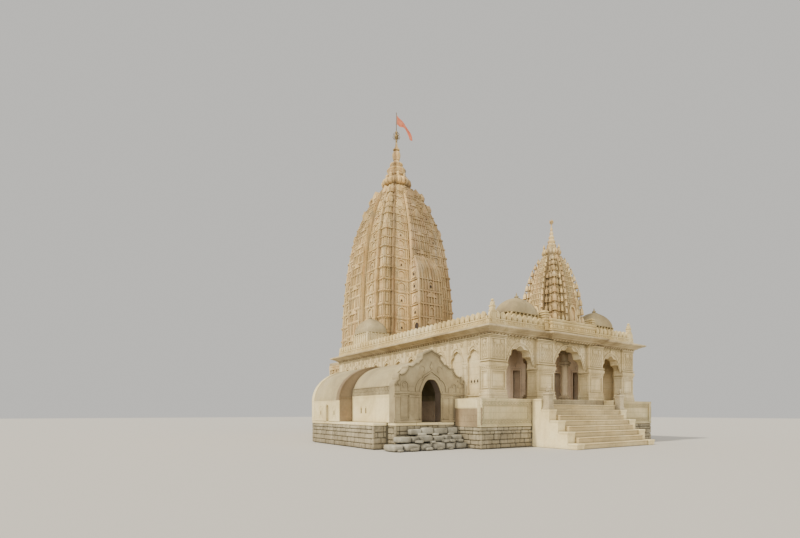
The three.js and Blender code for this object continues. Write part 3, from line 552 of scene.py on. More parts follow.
kg, ks_ = lerp_table(K_GREAT), lerp_table(K_SMALL)
pw, pd = lerp_table(PROW), lerp_table(PROW, 2)


class Face(Plane):
    """One side of a curved spire: u in metres at its foot, shrinking with height; w out of the surface at offset o."""

    def __init__(s, x, y, q, c, o, k):
        p = wall((x, y, 0), q)
        s.o, s.u, s.w, s.c, s.off, s.k = p.o, p.u, p.w, c, o, k

    def map(s, p):
        p = np.asarray(p, float); k = s.k(p[:, 2])[:, None]
        return s.o + p[:, 0:1] * k * s.u + (s.off * s.c * k + p[:, 1:2] * (0.4 + 0.6 * k)) * s.w + p[:, 2:3] * np.array([0, 0, 1.0])


class ProwFront(Plane):
    def __init__(s):
        p = wall((TX, TY, 0), 0); s.o, s.u, s.w = p.o, p.u, p.w

    def map(s, p):
        p = np.asarray(p, float); z = p[:, 2]
        f = (pw(z) / 1.35)[:, None]
        return s.o + p[:, 0:1] * f * s.u + (TC * 1.07 * kg(z) + pd(z))[:, None] * s.w + p[:, 1:2] * s.w + p[:, 2:3] * np.array([0, 0, 1.0])


class ProwSide(Plane):
    """u runs from the wall (0) to the front edge (1.6) on both sides; sign is +1 for the +X side."""

    def __init__(s, sign):
        s.sign = sign

    def map(s, p):
        p = np.asarray(p, float); z = p[:, 2]
        y = TY - TC * 1.07 * kg(z) - p[:, 0] * pd(z) / 1.6
        x = TX + s.sign * (pw(z) + p[:, 1])
        P = np.stack([x, y, z], 1)
        return P


def shell(m, fr, u0, u1, w, zs, back=-0.3):
    """A strip of surface at w, following a curved face over all the heights zs, with its sides turned in."""
    P = []
    for z in zs:
        P.append(fr.map([(u0, w + back, z), (u0, w, z), (u1, w, z), (u1, w + back, z)]))
    m.grid(np.array(P))


def storey_list(z0, z1, h0, h1):
    zs, z = [z0], z0
    n = int(round((z1 - z0) / ((h0 + h1) / 2)))
    hs = np.linspace(h0, h1, n); hs *= (z1 - z0) / hs.sum()
    for h in hs:
        z += h; zs.append(z)
    return zs


STOREYS = storey_list(7.9, 25.75, 1.42, 0.62)


def niche(m, fr, uc, w, z0, z1, hw, deep=0.07, leaf=True):
    """Framed arched niche: two shafts, sill, cusped head, small gable over it; its field is recessed by the caller."""
    h = z1 - z0
    fw = hw * 0.2
    m.box(fr, uc - hw, uc + hw, w - deep, w + 0.03, z0, z0 + h * 0.08)
    for s in (-1, 1):
        a, b = sorted((uc + s * hw * 0.92, uc + s * (hw * 0.92 - fw)))
        m.box(fr, a, b, w - deep, w + 0.02, z0 + h * 0.08, z0 + h * 0.62)
        a, b = sorted((uc + s * hw, uc + s * (hw * 0.92 - fw * 1.2)))
        m.box(fr, a, b, w - deep, w + 0.035, z0 + h * 0.6, z0 + h * 0.66)
    ai = pointed(uc, hw * 0.7, z0 + h * 0.64, z0 + h * 0.84, 8)
    ao = pointed(uc, hw * 0.98, z0 + h * 0.64, z0 + h * 0.98, 8)
    m.ring(fr, ai, ao, w - deep, w + 0.03)
    if leaf:
        m.box(fr, uc - hw * 0.1, uc + hw * 0.1, w - deep, w + 0.045, z0 + h * 0.84, z0 + h * 1.04)


def spire_body(m, x, y, c, k, steps, storeys, scale, skip_front=False, rich=True):
    """Bands, ribs and niches of a curved spire. steps: [(u0, u1, offset)] from the corner to the middle, in metres."""
    for q in range(4):
        for si, (u0, u1, off) in enumerate(steps):
            fr = Face(x, y, q, c, off, k)
            middle = si == len(steps) - 1
            if middle and skip_front and q == 0:
                continue
            spans = [(u0, u1)] if middle else [(u0, u1), (-u1, -u0)]
            for (a, b) in spans:
                wdt = b - a
                g = 0.045 * scale
                for j in range(len(storeys) - 1):
                    z0, z1 = storeys[j], storeys[j + 1]
                    h = z1 - z0
                    kk = float(k((z0 + z1) / 2))
                    # body of this storey
                    m.box(fr, a + g, b - g, -0.3 * scale, -0.045 * scale, z0, z1)
                    # mouldings between storeys: corners carry a fuller cushion
                    big = 1.0 if si == 0 else 0.62
                    m.box(fr, a + g * 0.5, b - g * 0.5, -0.1 * scale, 0.035 * scale * big, z1 - h * 0.10, z1 - h * 0.045)
                    m.box(fr, a, b, -0.1 * scale, 0.075 * scale * big, z1 - h * 0.045, z1 + h * 0.03)
                    m.box(fr, a + g, b - g, -0.1 * scale, 0.02 * scale, z0 + h * 0.03, z0 + h * 0.10)
                    if si == 0:
                        # corner pilaster: raised strip with two small sunk panels, and a cushion at every other storey
                        m.box(fr, a + wdt * 0.10, a + wdt * 0.26, -0.1 * scale, 0.0, z0 + h * 0.1, z1 - h * 0.1)
                        m.box(fr, b - wdt * 0.26, b - wdt * 0.10, -0.1 * scale, 0.0, z0 + h * 0.1, z1 - h * 0.1)
                        m.box(fr, a + wdt * 0.36, b - wdt * 0.36, -0.1 * scale, 0.015 * scale, z0 + h * 0.16, z0 + h * 0.7)
                        m.prism(fr, [(a + wdt * 0.3, z0 + h * 0.7), (b - wdt * 0.3, z0 + h * 0.7), ((a + b) / 2, z0 + h * 0.9)], -0.1 * scale, 0.03 * scale, back=False)
                        if j % 2 == 1:
                            n = 4
                            for i in range(n):
                                uu = a + wdt * (i + 0.5) / n
                                m.box(fr, uu - wdt * 0.105, uu + wdt * 0.105, -0.1 * scale, 0.13 * scale, z1 - h * 0.03, z1 + h * 0.10, c=0.03 * scale)
                    elif not middle:
                        # rib: plain shafts at both edges, framed niche between them
                        e = wdt * 0.07
                        for t0 in (0.03, 0.15):
                            m.box(fr, a + wdt * t0, a + wdt * t0 + e, -0.1 * scale, (0.02 if t0 < 0.1 else -0.005) * scale, z0 + h * 0.1, z1 - h * 0.1)
                            m.box(fr, b - wdt * t0 - e, b - wdt * t0, -0.1 * scale, (0.02 if t0 < 0.1 else -0.005) * scale, z0 + h * 0.1, z1 - h * 0.1)
                        niche(m, fr, (a + b) / 2, -0.0, z0 + h * 0.12, z1 - h * 0.14, wdt * 0.24, leaf=j % 2 == 0)
                        if rich:
                            m.box(fr, (a + b) / 2 - wdt * 0.07, (a + b) / 2 + wdt * 0.07, -0.1, -0.02, z0 + h * 0.2, z0 + h * 0.5, c=0.03)
                    else:
                        # middle offset: five flutes with a niche in the middle one
                        n = 7 if rich else 5
                        for i in range(n + 1):
                            uu = a + wdt * (0.05 + 0.9 * i / n)
                            if i in (n // 2, n // 2 + 1):
                                uu += (-1 if i == n // 2 else 1) * wdt * 0.03
                            m.box(fr, uu - wdt * 0.02, uu + wdt * 0.02, -0.1 * scale, (0.03 if i % 2 else 0.01) * scale, z0 + h * 0.1, z1 - h * 0.1)
                        uc = (a + b) / 2
                        if j % 2 == 0:
                            m.prism(fr, [(uc - wdt * 0.3, z0 + h * 0.62), (uc + wdt * 0.3, z0 + h * 0.62), (uc + wdt * 0.16, z0 + h * 0.84), (uc, z0 + h * 1.02), (uc - wdt * 0.16, z0 + h * 0.84)], -0.1 * scale, 0.06 * scale, back=False)


def build_great_spire():
    m = M("great_spire_carving")
    c = TC
    steps = [(-1.0 * c, -0.8 * c, 1.0), (-0.8 * c, -0.3 * c, 1.07), (-0.3 * c, 0.3 * c, 1.2)]
    core = M("great_spire_core")
    zs = [7.02] + [z for z in np.arange(7.6, 25.9, 0.45)] + [25.9]
    for q in range(4):
        for (a, b, off) in steps:
            fr = Face(TX, TY, q, c, off, kg)
            for (u0, u1) in ([(a, b)] if a + b == 0 else [(a, b), (-b, -a)]):
                shell(core, fr, u0 + 0.05, u1 - 0.05, -0.2, zs, back=-1.1)
    # closed caps of the core
    core.box(WORLD, TX - 1.15, TX + 1.15, -TY - 1.15, -TY + 1.15, 25.2, 25.9)
    # plain moulded base under the first storey
    for q in range(4):
        for (a, b, off) in steps:
            if q == 0 and a + b == 0:
                continue
            fr = Face(TX, TY, q, c, off, kg)
            for (u0, u1) in ([(a, b)] if a + b == 0 else [(a, b), (-b, -a)]):
                m.box(fr, u0, u1, -0.3, 0.02, 7.02, 7.26)
                m.box(fr, u0, u1, -0.3, -0.03, 7.26, 7.44)
                m.box(fr, u0, u1, -0.3, 0.03, 7.44, 7.54)
                m.box(fr, u0 + 0.03, u1 - 0.03, -0.3, -0.05, 7.54, 7.78)
                m.box(fr, u0, u1, -0.3, 0.04, 7.78, 7.9)
                n = max(2, int((u1 - u0) / 0.42))
                for i in range(n):
                    uu = u0 + (u1 - u0) * (i + 0.5) / n
                    m.box(fr, uu - 0.12, uu + 0.12, -0.1, 0.0, 7.58, 7.74)
    spire_body(m, TX, TY, c, kg, steps, STOREYS, 1.0, skip_front=True)
    # upper part of the front middle offset, above the deep one
    fr = Face(TX, TY, 0, c, 1.2, kg)
    for j in range(len(STOREYS) - 1):
        z0, z1 = STOREYS[j], STOREYS[j + 1]
        if z0 < 16.2:
            continue
        h = z1 - z0
        m.box(fr, -1.2, 1.2, -0.3, -0.045, z0, z1)
        m.box(fr, -1.26, 1.26, -0.1, 0.05, z1 - h * 0.05, z1 + h * 0.03)
        for i in range(8):
            uu = -1.1 + 2.2 * i / 7
            m.box(fr, uu - 0.05, uu + 0.05, -0.1, 0.03 if i % 2 else 0.01, z0 + h * 0.1, z1 - h * 0.08)
        if j % 2:
            m.prism(fr, [(-0.75, z0 + h * 0.6), (0.75, z0 + h * 0.6), (0.4, z0 + h * 0.84), (0, z0 + h * 1.02), (-0.4, z0 + h * 0.84)], -0.1, 0.06, back=False)
    # the deep front offset: three storeyed faces
    pz = [z for z in np.arange(7.02, 17.2, 0.3)] + [17.28]
    PF = ProwFront()
    P = []
    for z in pz:
        a = float(pd(z)); y0 = TY - TC * 1.07 * float(kg(z)); hw = float(pw(z)) - 0.08
        P.append([(TX - hw, y0 + 0.4, z), (TX - hw, y0 - a + 0.08, z), (TX + hw, y0 - a + 0.08, z), (TX + hw, y0 + 0.4, z)])
    core.grid(np.array(P))
    core.box(WORLD, TX - 0.6, TX + 0.6, -(TY - TC * 1.07 * .91) - 0.6, -(TY - TC * 1.07 * .91) + 0.1, 17.05, 17.28)
    ps = [z for z in STOREYS if z < 17.0] + [17.24]
    for j in range(len(ps) - 1):
        z0, z1 = ps[j], ps[j + 1]
        h = z1 - z0
        high = z1 > 14.8
        if not high:
            m.box(PF, -1.35, 1.35, -0.1, 0.035, z1 - h * 0.05, z1 + h * 0.01)
            m.box(PF, -1.33, 1.33, -0.1, 0.015, z0 + h * 0.02, z0 + h * 0.08)
        n = 8
        for i in range(n + 1):
            uu = -1.29 + 2.58 * i / n
            if i == 4:
                continue
            m.box(PF, uu - 0.055, uu + 0.055, -0.1, 0.025 if i % 2 else -0.01, z0 if high else z0 + h * 0.1, z1 if high else z1 - h * 0.06)
        if high:
            m.box(PF, -0.12, 0.12, -0.1, 0.05, z0, z1)
        elif j % 2 == 0:
            niche(m, PF, 0, 0.0, z0 + h * 0.12, z1 - h * 0.12, 0.3)
        else:
            m.box(PF, -0.05, 0.05, -0.1, 0.02, z0 + h * 0.1, z1 - h * 0.06)
            m.prism(PF, [(-0.62, z0 + h * 0.55), (0.62, z0 + h * 0.55), (0.34, z0 + h * 0.8), (0, z0 + h * 0.98), (-0.34, z0 + h * 0.8)], -0.1, 0.05, back=False)
        for sg in (-1, 1):
            S = ProwSide(sg)
            if not high:
                m.box(S, 0.0, 1.6, -0.1, 0.02, z1 - h * 0.04, z1 + h * 0.01)
            m.box(S, 1.36, 1.6, -0.1, 0.0, z0, z1)
            m.box(S, 0.06, 0.2, -0.1, -0.01, z0, z1)
            m.box(S, 0.3, 1.26, -0.1, -0.04, z0 + h * 0.08, z1 - h * 0.14)
            niche(m, S, 0.78, -0.02, z0 + h * 0.14, z1 - h * 0.2, 0.3, leaf=False)
    # base of the deep offset
    m.box(PF, -1.35, 1.35, -0.2, 0.03, 7.02, 7.3)
    m.box(PF, -1.35, 1.35, -0.2, 0.04, 7.78, 7.9)
    for i in range(7):
        uu = -1.2 + 2.4 * i / 6
        m.box(PF, uu - 0.12, uu + 0.12, -0.1, 0.0, 7.36, 7.72)
    for sg in (-1, 1):
        S = ProwSide(sg)
        m.box(S, 0.0, 1.6, -0.2, 0.03, 7.02, 7.3)
        m.box(S, 0.0, 1.6, -0.2, 0.03, 7.78, 7.9)
        for i in range(4):
            m.box(S, 0.1 + 0.4 * i, 0.36 + 0.4 * i, -0.1, 0.0, 7.36, 7.72)
    # leaf-shaped antefixes standing on the shoulder
    for q in range(4):
        for (u, off, z, hh, w) in ((-3.9, 1.0, 20.1, 0.75, 0.3), (3.9, 1.0, 20.1, 0.75, 0.3), (-3.9, 1.0, 22.9, 0.8, 0.36), (3.9, 1.0, 22.9, 0.8, 0.36), (-2.3, 1.07, 22.3, 0.9, 0.5), (2.3, 1.07, 22.3, 0.9, 0.5),
                                   (-3.8, 1.0, 24.3, 0.85, 0.5), (3.8, 1.0, 24.3, 0.85, 0.5), (-2.2, 1.07, 24.5, 0.9, 0.7), (2.2, 1.07, 24.5, 0.9, 0.7), (0, 1.2, 24.0, 1.0, 0.7), (0, 1.2, 21.3, 1.0, 0.55)):
            kk = float(kg(z)); y = off * TC * kk
            fr = Plane(wall((TX, TY, 0), q).o, wall((0, 0, 0), q).u, wall((0, 0, 0), q).w)
            uc = u * kk
            ww = w * (0.55 + 0.45 * kk)
            poly = [(uc - ww * 0.8, z), (uc + ww * 0.8, z), (uc + ww, z + hh * 0.4), (uc + ww * 0.55, z + hh * 0.72), (uc, z + hh), (uc - ww * 0.55, z + hh * 0.72), (uc - ww, z + hh * 0.4)]
            m.prism(fr, poly, y - 0.45, y - 0.02)
            m.prism(fr, scaled(poly, uc, z + hh * 0.35, 0.62), y - 0.1, y + 0.03, back=False)
    core.make(MAT["tower"], ("great_spire",), "spire_stone", warp=GREAT_FIT)
    m.make(MAT["tower"], (), "spire_stone", warp=GREAT_FIT)
    # small openings shown as dark plates: painted shade for the hollow behind them
    d = M("great_spire_openings_painted_shade")
    def hole(fr, u, z, w=0.16, h=0.24, dep=-0.02):
        d.prism(fr, [(u - w / 2, z), (u + w / 2, z), (u + w / 2, z + h * 0.6), (u, z + h), (u - w / 2, z + h * 0.6)], dep - 0.12, dep, back=False)
    L = Face(TX, TY, 3, c, 1.07, kg); F = Face(TX, TY, 0, c, 1.07, kg); R = Face(TX, TY, 1, c, 1.07, kg); B = Face(TX, TY, 2, c, 1.07, kg)
    for fr in (L, F, R, B):
        for u in (-2.31, 2.31):
            for j in (1, 3, 6, 9, 12):
                z0, z1 = STOREYS[j], STOREYS[j + 1]
                hole(fr, u, z0 + (z1 - z0) * 0.24, dep=0.0)
    for j in (4, 7):
        hole(PF, 0.0, STOREYS[j] + 0.4, dep=0.01)
    for sg in (-1, 1):
        S = ProwSide(sg)
        for j in (2, 4, 5):
            hole(S, 0.78, STOREYS[j] + 0.4, 0.2, 0.3, dep=0.0)
        # the round opening near the foot, also a dark plate of painted shade
        n = 20
        yc, zc, r = 1.1, 9.79, 0.33
        d.prism(S, [(yc + r * math.cos(t * 2 * math.pi / n), zc + r * math.sin(t * 2 * math.pi / n)) for t in range(n)], -0.1, 0.02, back=False)
    d.make(MAT["dark"], (), "spire_stone", warp=GREAT_FIT)
    rr = M("great_spire_round_frames")
    for sg in (-1, 1):
        S = ProwSide(sg)
        n = 24
        ring = lambda r: [(1.1 + r * math.cos(t * 2 * math.pi / n), 9.79 + r * math.sin(t * 2 * math.pi / n)) for t in range(n)]
        rr.ring(S, ring(0.33), ring(0.43), -0.08, 0.05, closed=True)
    rr.make(MAT["tower"], (), "spire_stone", warp=GREAT_FIT)


build_great_spire()


def build_crown():
    m = M("great_spire_crown_carving")
    # neck, ribbed stone, drum with carved bosses, disc, pot, tip
    m.lathe(TX, TY, [(1.05, 25.9), (1.12, 25.95), (1.12, 26.02), (1.0, 26.06)], 40)
    m.lathe(TX, TY, [(1.0, 26.0), (1.34, 26.06), (1.56, 26.2), (1.65, 26.42), (1.63, 26.62), (1.52, 26.82), (1.3, 26.97), (1.0, 27.02)], 144, lobes=18, depth=0.14, zr=(26.05, 26.98))
    m.lathe(TX, TY, [(1.08, 27.0), (1.08, 27.08), (1.0, 27.14), (0.92, 27.2), (0.92, 27.28), (0.98, 27.34)], 40)
    m.lathe(TX, TY, [(0.86, 27.3), (0.9, 27.5), (0.9, 27.8), (0.98, 27.95), (1.06, 28.08), (1.02, 28.16), (0.9, 28.2), (0.93, 28.28), (0.62, 28.42), (0.56, 28.5)], 40)
    for i in range(10):
        t = (i + 0.5) / 10 * 2 * math.pi
        x, y = TX + 0.86 * math.cos(t), TY + 0.86 * math.sin(t)
        m.lathe(x, y, [(0.02, 27.36), (0.12, 27.4), (0.15, 27.52), (0.1, 27.62), (0.13, 27.7), (0.16, 27.8), (0.11, 27.92), (0.02, 27.98)], 10)
    # eight seated bosses on the shoulder, round the neck
    for i in range(8):
        t = (i + 0.5) / 8 * 2 * math.pi
        x, y = TX + 1.02 * math.cos(t), TY + 1.02 * math.sin(t)
        m.lathe(x, y, [(0.05, 26.98), (0.2, 27.02), (0.22, 27.16), (0.14, 27.26), (0.18, 27.36), (0.15, 27.5), (0.05, 27.6)], 10)
    m.lathe(TX, TY, [(0.56, 28.45), (0.6, 28.6), (0.66, 28.68), (0.74, 28.78), (0.72, 28.9), (0.62, 28.97), (0.5, 29.02)], 96, lobes=16, depth=0.12, zr=(28.6, 28.95))
    m.lathe(TX, TY, [(0.5, 29.0), (0.36, 29.14), (0.29, 29.28), (0.29, 29.38), (0.34, 29.4), (0.34, 29.46), (0.38, 29.56), (0.44, 29.8), (0.455, 30.0), (0.43, 30.2), (0.35, 30.38), (0.22, 30.46), (0.2, 30.54)], 32)
    m.lathe(TX, TY, [(0.2, 30.5), (0.33, 30.58), (0.39, 30.64), (0.385, 30.71), (0.3, 30.76), (0.19, 30.8)], 64, lobes=12, depth=0.15, zr=(30.56, 30.74))
    m.lathe(TX, TY, [(0.19, 30.78), (0.17, 30.9), (0.19, 30.96), (0.19, 31.0), (0.14, 31.05), (0.12, 31.3), (0.1, 31.5)], 24)
    m.make(MAT["tower"], ("great_spire_crown",), "spire_stone", smooth=True, warp=GREAT_FIT)
    f = M("great_spire_finial_rays")
    f.lathe(TX, TY, [(0.09, 31.48), (0.09, 31.6), (0.12, 31.64), (0.12, 31.68), (0.075, 31.74), (0.065, 31.9), (0.1, 31.95), (0.16, 32.08), (0.2, 32.3), (0.16, 32.5), (0.08, 32.62), (0.06, 32.7), (0.05, 33.0)], 20)
    for ring, (el, ln, z0, cnt) in enumerate(((0.05, 0.40, 32.22, 10), (0.75, 0.42, 32.32, 9), (-0.55, 0.34, 32.2, 8), (1.2, 0.46, 32.38, 5))):
        for i in range(cnt):
            t = (i + 0.3 * ring) / cnt * 2 * math.pi
            d = np.array([math.cos(t) * math.cos(el), math.sin(t) * math.cos(el), math.sin(el)])
            p0 = np.array([TX, TY, z0]) + d * 0.08
            side = np.array([-math.sin(t), math.cos(t), 0]); up = np.cross(d, side)
            P = []
            for s, r in ((0, 0.03), (0.55, 0.018), (0.78, 0.016), (0.84, 0.045), (0.9, 0.055), (0.96, 0.045), (1.0, 0.004)):
                c0 = p0 + d * ln * s * 0.9
                P.append([c0 + (side * math.cos(a) + up * math.sin(a)) * r for a in np.arange(8) / 8 * 2 * math.pi])
            f.grid(np.array(P), closed_u=True)
    f.make(MAT["metal"], ("great_spire_finial",), "gilt_metal", smooth=True, warp=GREAT_FIT)
    p = M("flagpole_shaft")
    p.lathe(TX, TY, [(0.045, 33.0), (0.042, 33.6), (0.038, 34.3), (0.034, 34.9), (0.032, 35.26), (0.015, 35.3)], 16)
    for z in (33.1, 33.78, 35.08):
        p.lathe(TX, TY, [(0.044, z), (0.056, z + 0.015), (0.056, z + 0.05), (0.044, z + 0.065)], 16)
    p.make(MAT["wood"], ("flagpole",), "pole_wood", smooth=True, warp=GREAT_FIT)


build_crown()


# ------------------------------------------------------------------ small spire
def frame_rect(m, fr, u0, u1, z0, z1, w0, w1, t):
    m.box(fr, u0, u1, w0, w1, z0, z0 + t); m.box(fr, u0, u1, w0, w1, z1 - t, z1)
    m.box(fr, u0, u0 + t, w0, w1, z0 + t, z1 - t); m.box(fr, u1 - t, u1, w0, w1, z0 + t, z1 - t)


def spirelet(m, x, y, z, r, h, n=8):
    m.lathe(x, y, [(r * 0.7, z), (r, z + 0.05 * h), (r, z + 0.11 * h), (r * 0.8, z + 0.14 * h), (r * 0.88, z + 0.26 * h), (r * 0.8, z + 0.4 * h), (r * 0.6, z + 0.54 * h), (r * 0.36, z + 0.66 * h), (r * 0.2, z + 0.7 * h),
                   (r * 0.38, z + 0.73 * h), (r * 0.38, z + 0.78 * h), (r * 0.12, z + 0.81 * h), (r * 0.16, z + 0.88 * h), (r * 0.03, z + h)], n, phase=math.pi / n)


def build_small_spire():
    c = SC
    m = M("small_spire_carving"); core = M("small_spire_core")
    steps = [(-1.0 * c, -0.72 * c, 1.0), (-0.72 * c, -0.34 * c, 1.05), (-0.34 * c, 0.34 * c, 1.1)]
    zs = [z for z in np.arange(7.75, 12.3, 0.25)] + [12.35]
    for q in range(4):
        for (a, b, off) in steps:
            fr = Face(SX, SY, q, c, off, ks_)
            for (u0, u1) in ([(a, b)] if a + b == 0 else [(a, b), (-b, -a)]):
                lim = c - 0.36
                shell(core, fr, max(u0, -lim), min(u1, lim), -0.08 if a + b == 0 else -0.31, zs, back=-0.47)
    core.box(WORLD, SX - 0.42, SX + 0.42, -SY - 0.42, -SY + 0.42, 12.0, 12.35)
    for z0, z1 in zip(zs[:-1], zs[1:]):      # corner ribs behind the spirelets
        k = float(ks_(z1)); o = c * k - 0.16 * (0.45 + 0.55 * k); i_ = max(o - 0.34, 0.1)
        for sx in (-1, 1):
            for sy in (-1, 1):
                core.box(WORLD, *sorted((SX + sx * i_, SX + sx * o)), *sorted((-SY - sy * i_, -SY - sy * o)), z0, z1)
    # tiers of small spirelets on corners and ribs
    z = 7.76
    for j, h in enumerate((0.64, 0.61, 0.58, 0.55, 0.51, 0.47, 0.43, 0.38, 0.33)):
        k = float(ks_(z + h * 0.45)); r = 0.15 * (0.45 + 0.55 * k)
        n = 4 if j < 6 else 3
        for sx in (-1, 1):
            for sy in (-1, 1):
                e = c * k - r * 0.8
                spirelet(m, SX + sx * e, SY + sy * e, z, r * 1.15, h * 1.1)
                for i in range(1, n):
                    d = 0.64 * c * k * i / (n - 1)
                    out = c * (1.0 if i < n / 2 else 1.05) * k - r * rng.uniform(0.6, 1.0)
                    for (ax, ay) in ((e - d, out), (out, e - d)):
                        spirelet(m, SX + sx * ax, SY + sy * ay, z + rng.uniform(-0.07, 0.05) * h, r * rng.uniform(0.72, 0.92), h * rng.uniform(0.84, 1.0))
        z += h
    # smaller spirelets up both edges of the middle faces
    z = 7.8
    for j, h in enumerate((0.46, 0.45, 0.44, 0.43, 0.41, 0.40, 0.38, 0.36, 0.34, 0.31, 0.28)):
        k = float(ks_(z + h * 0.5)); r = 0.085 * (0.5 + 0.5 * k)
        for q in range(4):
            fr = Face(SX, SY, q, c, 1.1, ks_)
            for sg in (-1, 1):
                x, y, _ = fr.map([(sg * 0.345 * c, -0.03, z)])[0]
                spirelet(m, x, y, z, r, h * 1.02)
        z += h
    # middle faces: shafts, string courses and a pointed niche
    st = [7.76, 8.98, 9.36, 9.74, 10.1, 10.45, 10.8, 11.12, 11.42, 11.72, 12.0, 12.28]
    for q in range(4):
        fr = Face(SX, SY, q, c, 1.1, ks_)
        for j in range(len(st) - 1):
            z0, z1 = st[j], st[j + 1]; h = z1 - z0
            m.box(fr, -0.50, 0.50, -0.2, -0.04, z0, z1)
            m.box(fr, -0.50, 0.50, -0.1, 0.035, z1 - 0.045, z1 + 0.01)
            m.box(fr, -0.48, 0.48, -0.1, 0.0, z1 - 0.11, z1 - 0.07)
            if j:
                for i in range(7):
                    u = -0.45 + 0.90 * i / 6
                    m.box(fr, u - 0.028, u + 0.028, -0.1, 0.02 if i % 2 == 0 else 0.0, z0 + 0.03, z1 - 0.12)
        for sg in (-1, 1):
            for u in (0.46, 0.36):
                m.box(fr, *sorted((sg * u, sg * (u - 0.06))), -0.1, 0.03 if u > .4 else 0.01, 7.86, 8.86)
        ai, ao = pointed(0, 0.25, 8.42, 8.72, 10), pointed(0, 0.34, 8.42, 8.9, 10)
        m.ring(fr, ai, ao, -0.1, 0.05)
        m.box(fr, -0.34, -0.25, -0.1, 0.04, 7.84, 8.42); m.box(fr, 0.25, 0.34, -0.1, 0.04, 7.84, 8.42)
        m.box(fr, -0.33, 0.33, -0.1, 0.06, 7.76, 7.86)
    core.make(MAT["minor"], ("small_spire",), "spire_stone")
    m.make(MAT["minor"], (), "spire_stone")
    k = M("small_spire_crown_carving")
    k.lathe(SX, SY, [(0.46, 12.35), (0.5, 12.4), (0.54, 12.44), (0.61, 12.5), (0.635, 12.57), (0.625, 12.65), (0.57, 12.75), (0.46, 12.82), (0.4, 12.86)], 96, lobes=16, depth=0.13, zr=(12.42, 12.8))
    k.lathe(SX, SY, [(0.42, 12.84), (0.34, 12.9), (0.3, 12.97), (0.3, 13.06), (0.31, 13.11), (0.25, 13.18), (0.21, 13.25), (0.25, 13.31), (0.25, 13.38), (0.18, 13.46), (0.145, 13.54), (0.18, 13.6), (0.18, 13.67), (0.12, 13.75),
                     (0.09, 13.82), (0.12, 13.88), (0.12, 13.94), (0.075, 14.02), (0.06, 14.09), (0.09, 14.15), (0.09, 14.2), (0.05, 14.28), (0.035, 14.4), (0.035, 14.58)], 24)
    k.lathe(SX, SY, [(0.035, 14.56), (0.06, 14.6), (0.05, 14.66), (0.08, 14.72), (0.05, 14.78), (0.02, 14.82), (0.004, 14.875)], 16)
    for i in range(6):                       # small buds round the tip
        t = (i + 0.5) / 6 * 2 * math.pi
        k.lathe(SX + 0.11 * math.cos(t), SY + 0.11 * math.sin(t), [(0.004, 14.58), (0.026, 14.63), (0.03, 14.7), (0.018, 14.77), (0.003, 14.82)], 8)
        k.lathe(SX + 0.06 * math.cos(t), SY + 0.06 * math.sin(t), [(0.004, 14.52), (0.02, 14.56), (0.022, 14.62), (0.004, 14.66)], 8)
    for i in range(4):                       # horn-like leaves on the shoulder of the disc
        t = (i + 0.5) / 4 * 2 * math.pi
        x, y = SX + 0.47 * math.cos(t), SY + 0.47 * math.sin(t)
        k.lathe(x, y, [(0.07, 12.74), (0.09, 12.82), (0.06, 12.9), (0.085, 12.96), (0.06, 13.04), (0.02, 13.16), (0.004, 13.24)], 10)
    k.make(MAT["minor"], ("small_spire_crown",), "spire_stone", smooth=True)
    # square base with mouldings
    b = M("small_spire_base_mouldings")
    x0, x1, y0, y1 = -1.52, 1.52, -9.42, -6.235
    for (o, z0, z1) in ((0.0, 7.02, 7.11), (-0.06, 7.11, 7.19), (-0.02, 7.19, 7.28), (-0.12, 7.28, 7.47), (-0.03, 7.47, 7.55), (0.0, 7.55, 7.62), (-0.08, 7.62, 7.68), (0.0, 7.68, 7.75)):
        b.box(WORLD, x0 - o, x1 + o, -y1 - o, -y0 + o, z0, z1, c=0.015)
    yc = (y0 + y1) / 2
    for q in range(4):
        fr = wall({0: (0, y0, 0), 1: (x1, yc, 0), 2: (0, y1, 0), 3: (x0, yc, 0)}[q], q)
        for i in range(9):
            u = -1.3 + 2.6 * i / 8
            b.box(fr, u - 0.08, u + 0.08, -0.14, -0.04, 7.31, 7.44, c=0.02)
    b.make(MAT["hall"], ("small_spire_base",), "hall_plaster")


build_small_spire()


# ------------------------------------------------------------------ front of the hall
def rosette(m, fr, u, z, w, r, petals=8, t=0.03):
    n = petals * 5
    pts = [(u + r * (0.82 + 0.18 * math.cos(petals * a)) * math.cos(a), z + r * (0.82 + 0.18 * math.cos(petals * a)) * math.sin(a)) for a in np.arange(n) / n * 2 * math.pi]
    m.prism(fr, pts, w - 0.05, w + t, back=False)
    c = [(u + r * 0.34 * math.cos(a), z + r * 0.34 * math.sin(a)) for a in np.arange(12) / 12 * 2 * math.pi]
    m.prism(fr, c, w, w + t * 1.9, back=False)


def curl(m, fr, u, z, r, a0, a1, w0, w1, t, n=12):
    aa = np.linspace(a0, a1, n)
    m.ring(fr, [(u + (r - t) * math.cos(a), z + (r - t) * math.sin(a)) for a in aa], [(u + r * math.cos(a), z + r * math.sin(a)) for a in aa], w0, w1)


def leaf(m, fr, u, z, hw, h, w0, w1):
    m.prism(fr, [(u - hw * 0.35, z), (u + hw * 0.35, z), (u + hw, z + h * 0.3), (u + hw * 0.6, z + h * 0.55), (u + hw * 0.15, z + h * 0.72), (u, z + h), (u - hw * 0.15, z + h * 0.72), (u - hw * 0.6, z + h * 0.55), (u - hw, z + h * 0.3)], w0, w1, back=False)


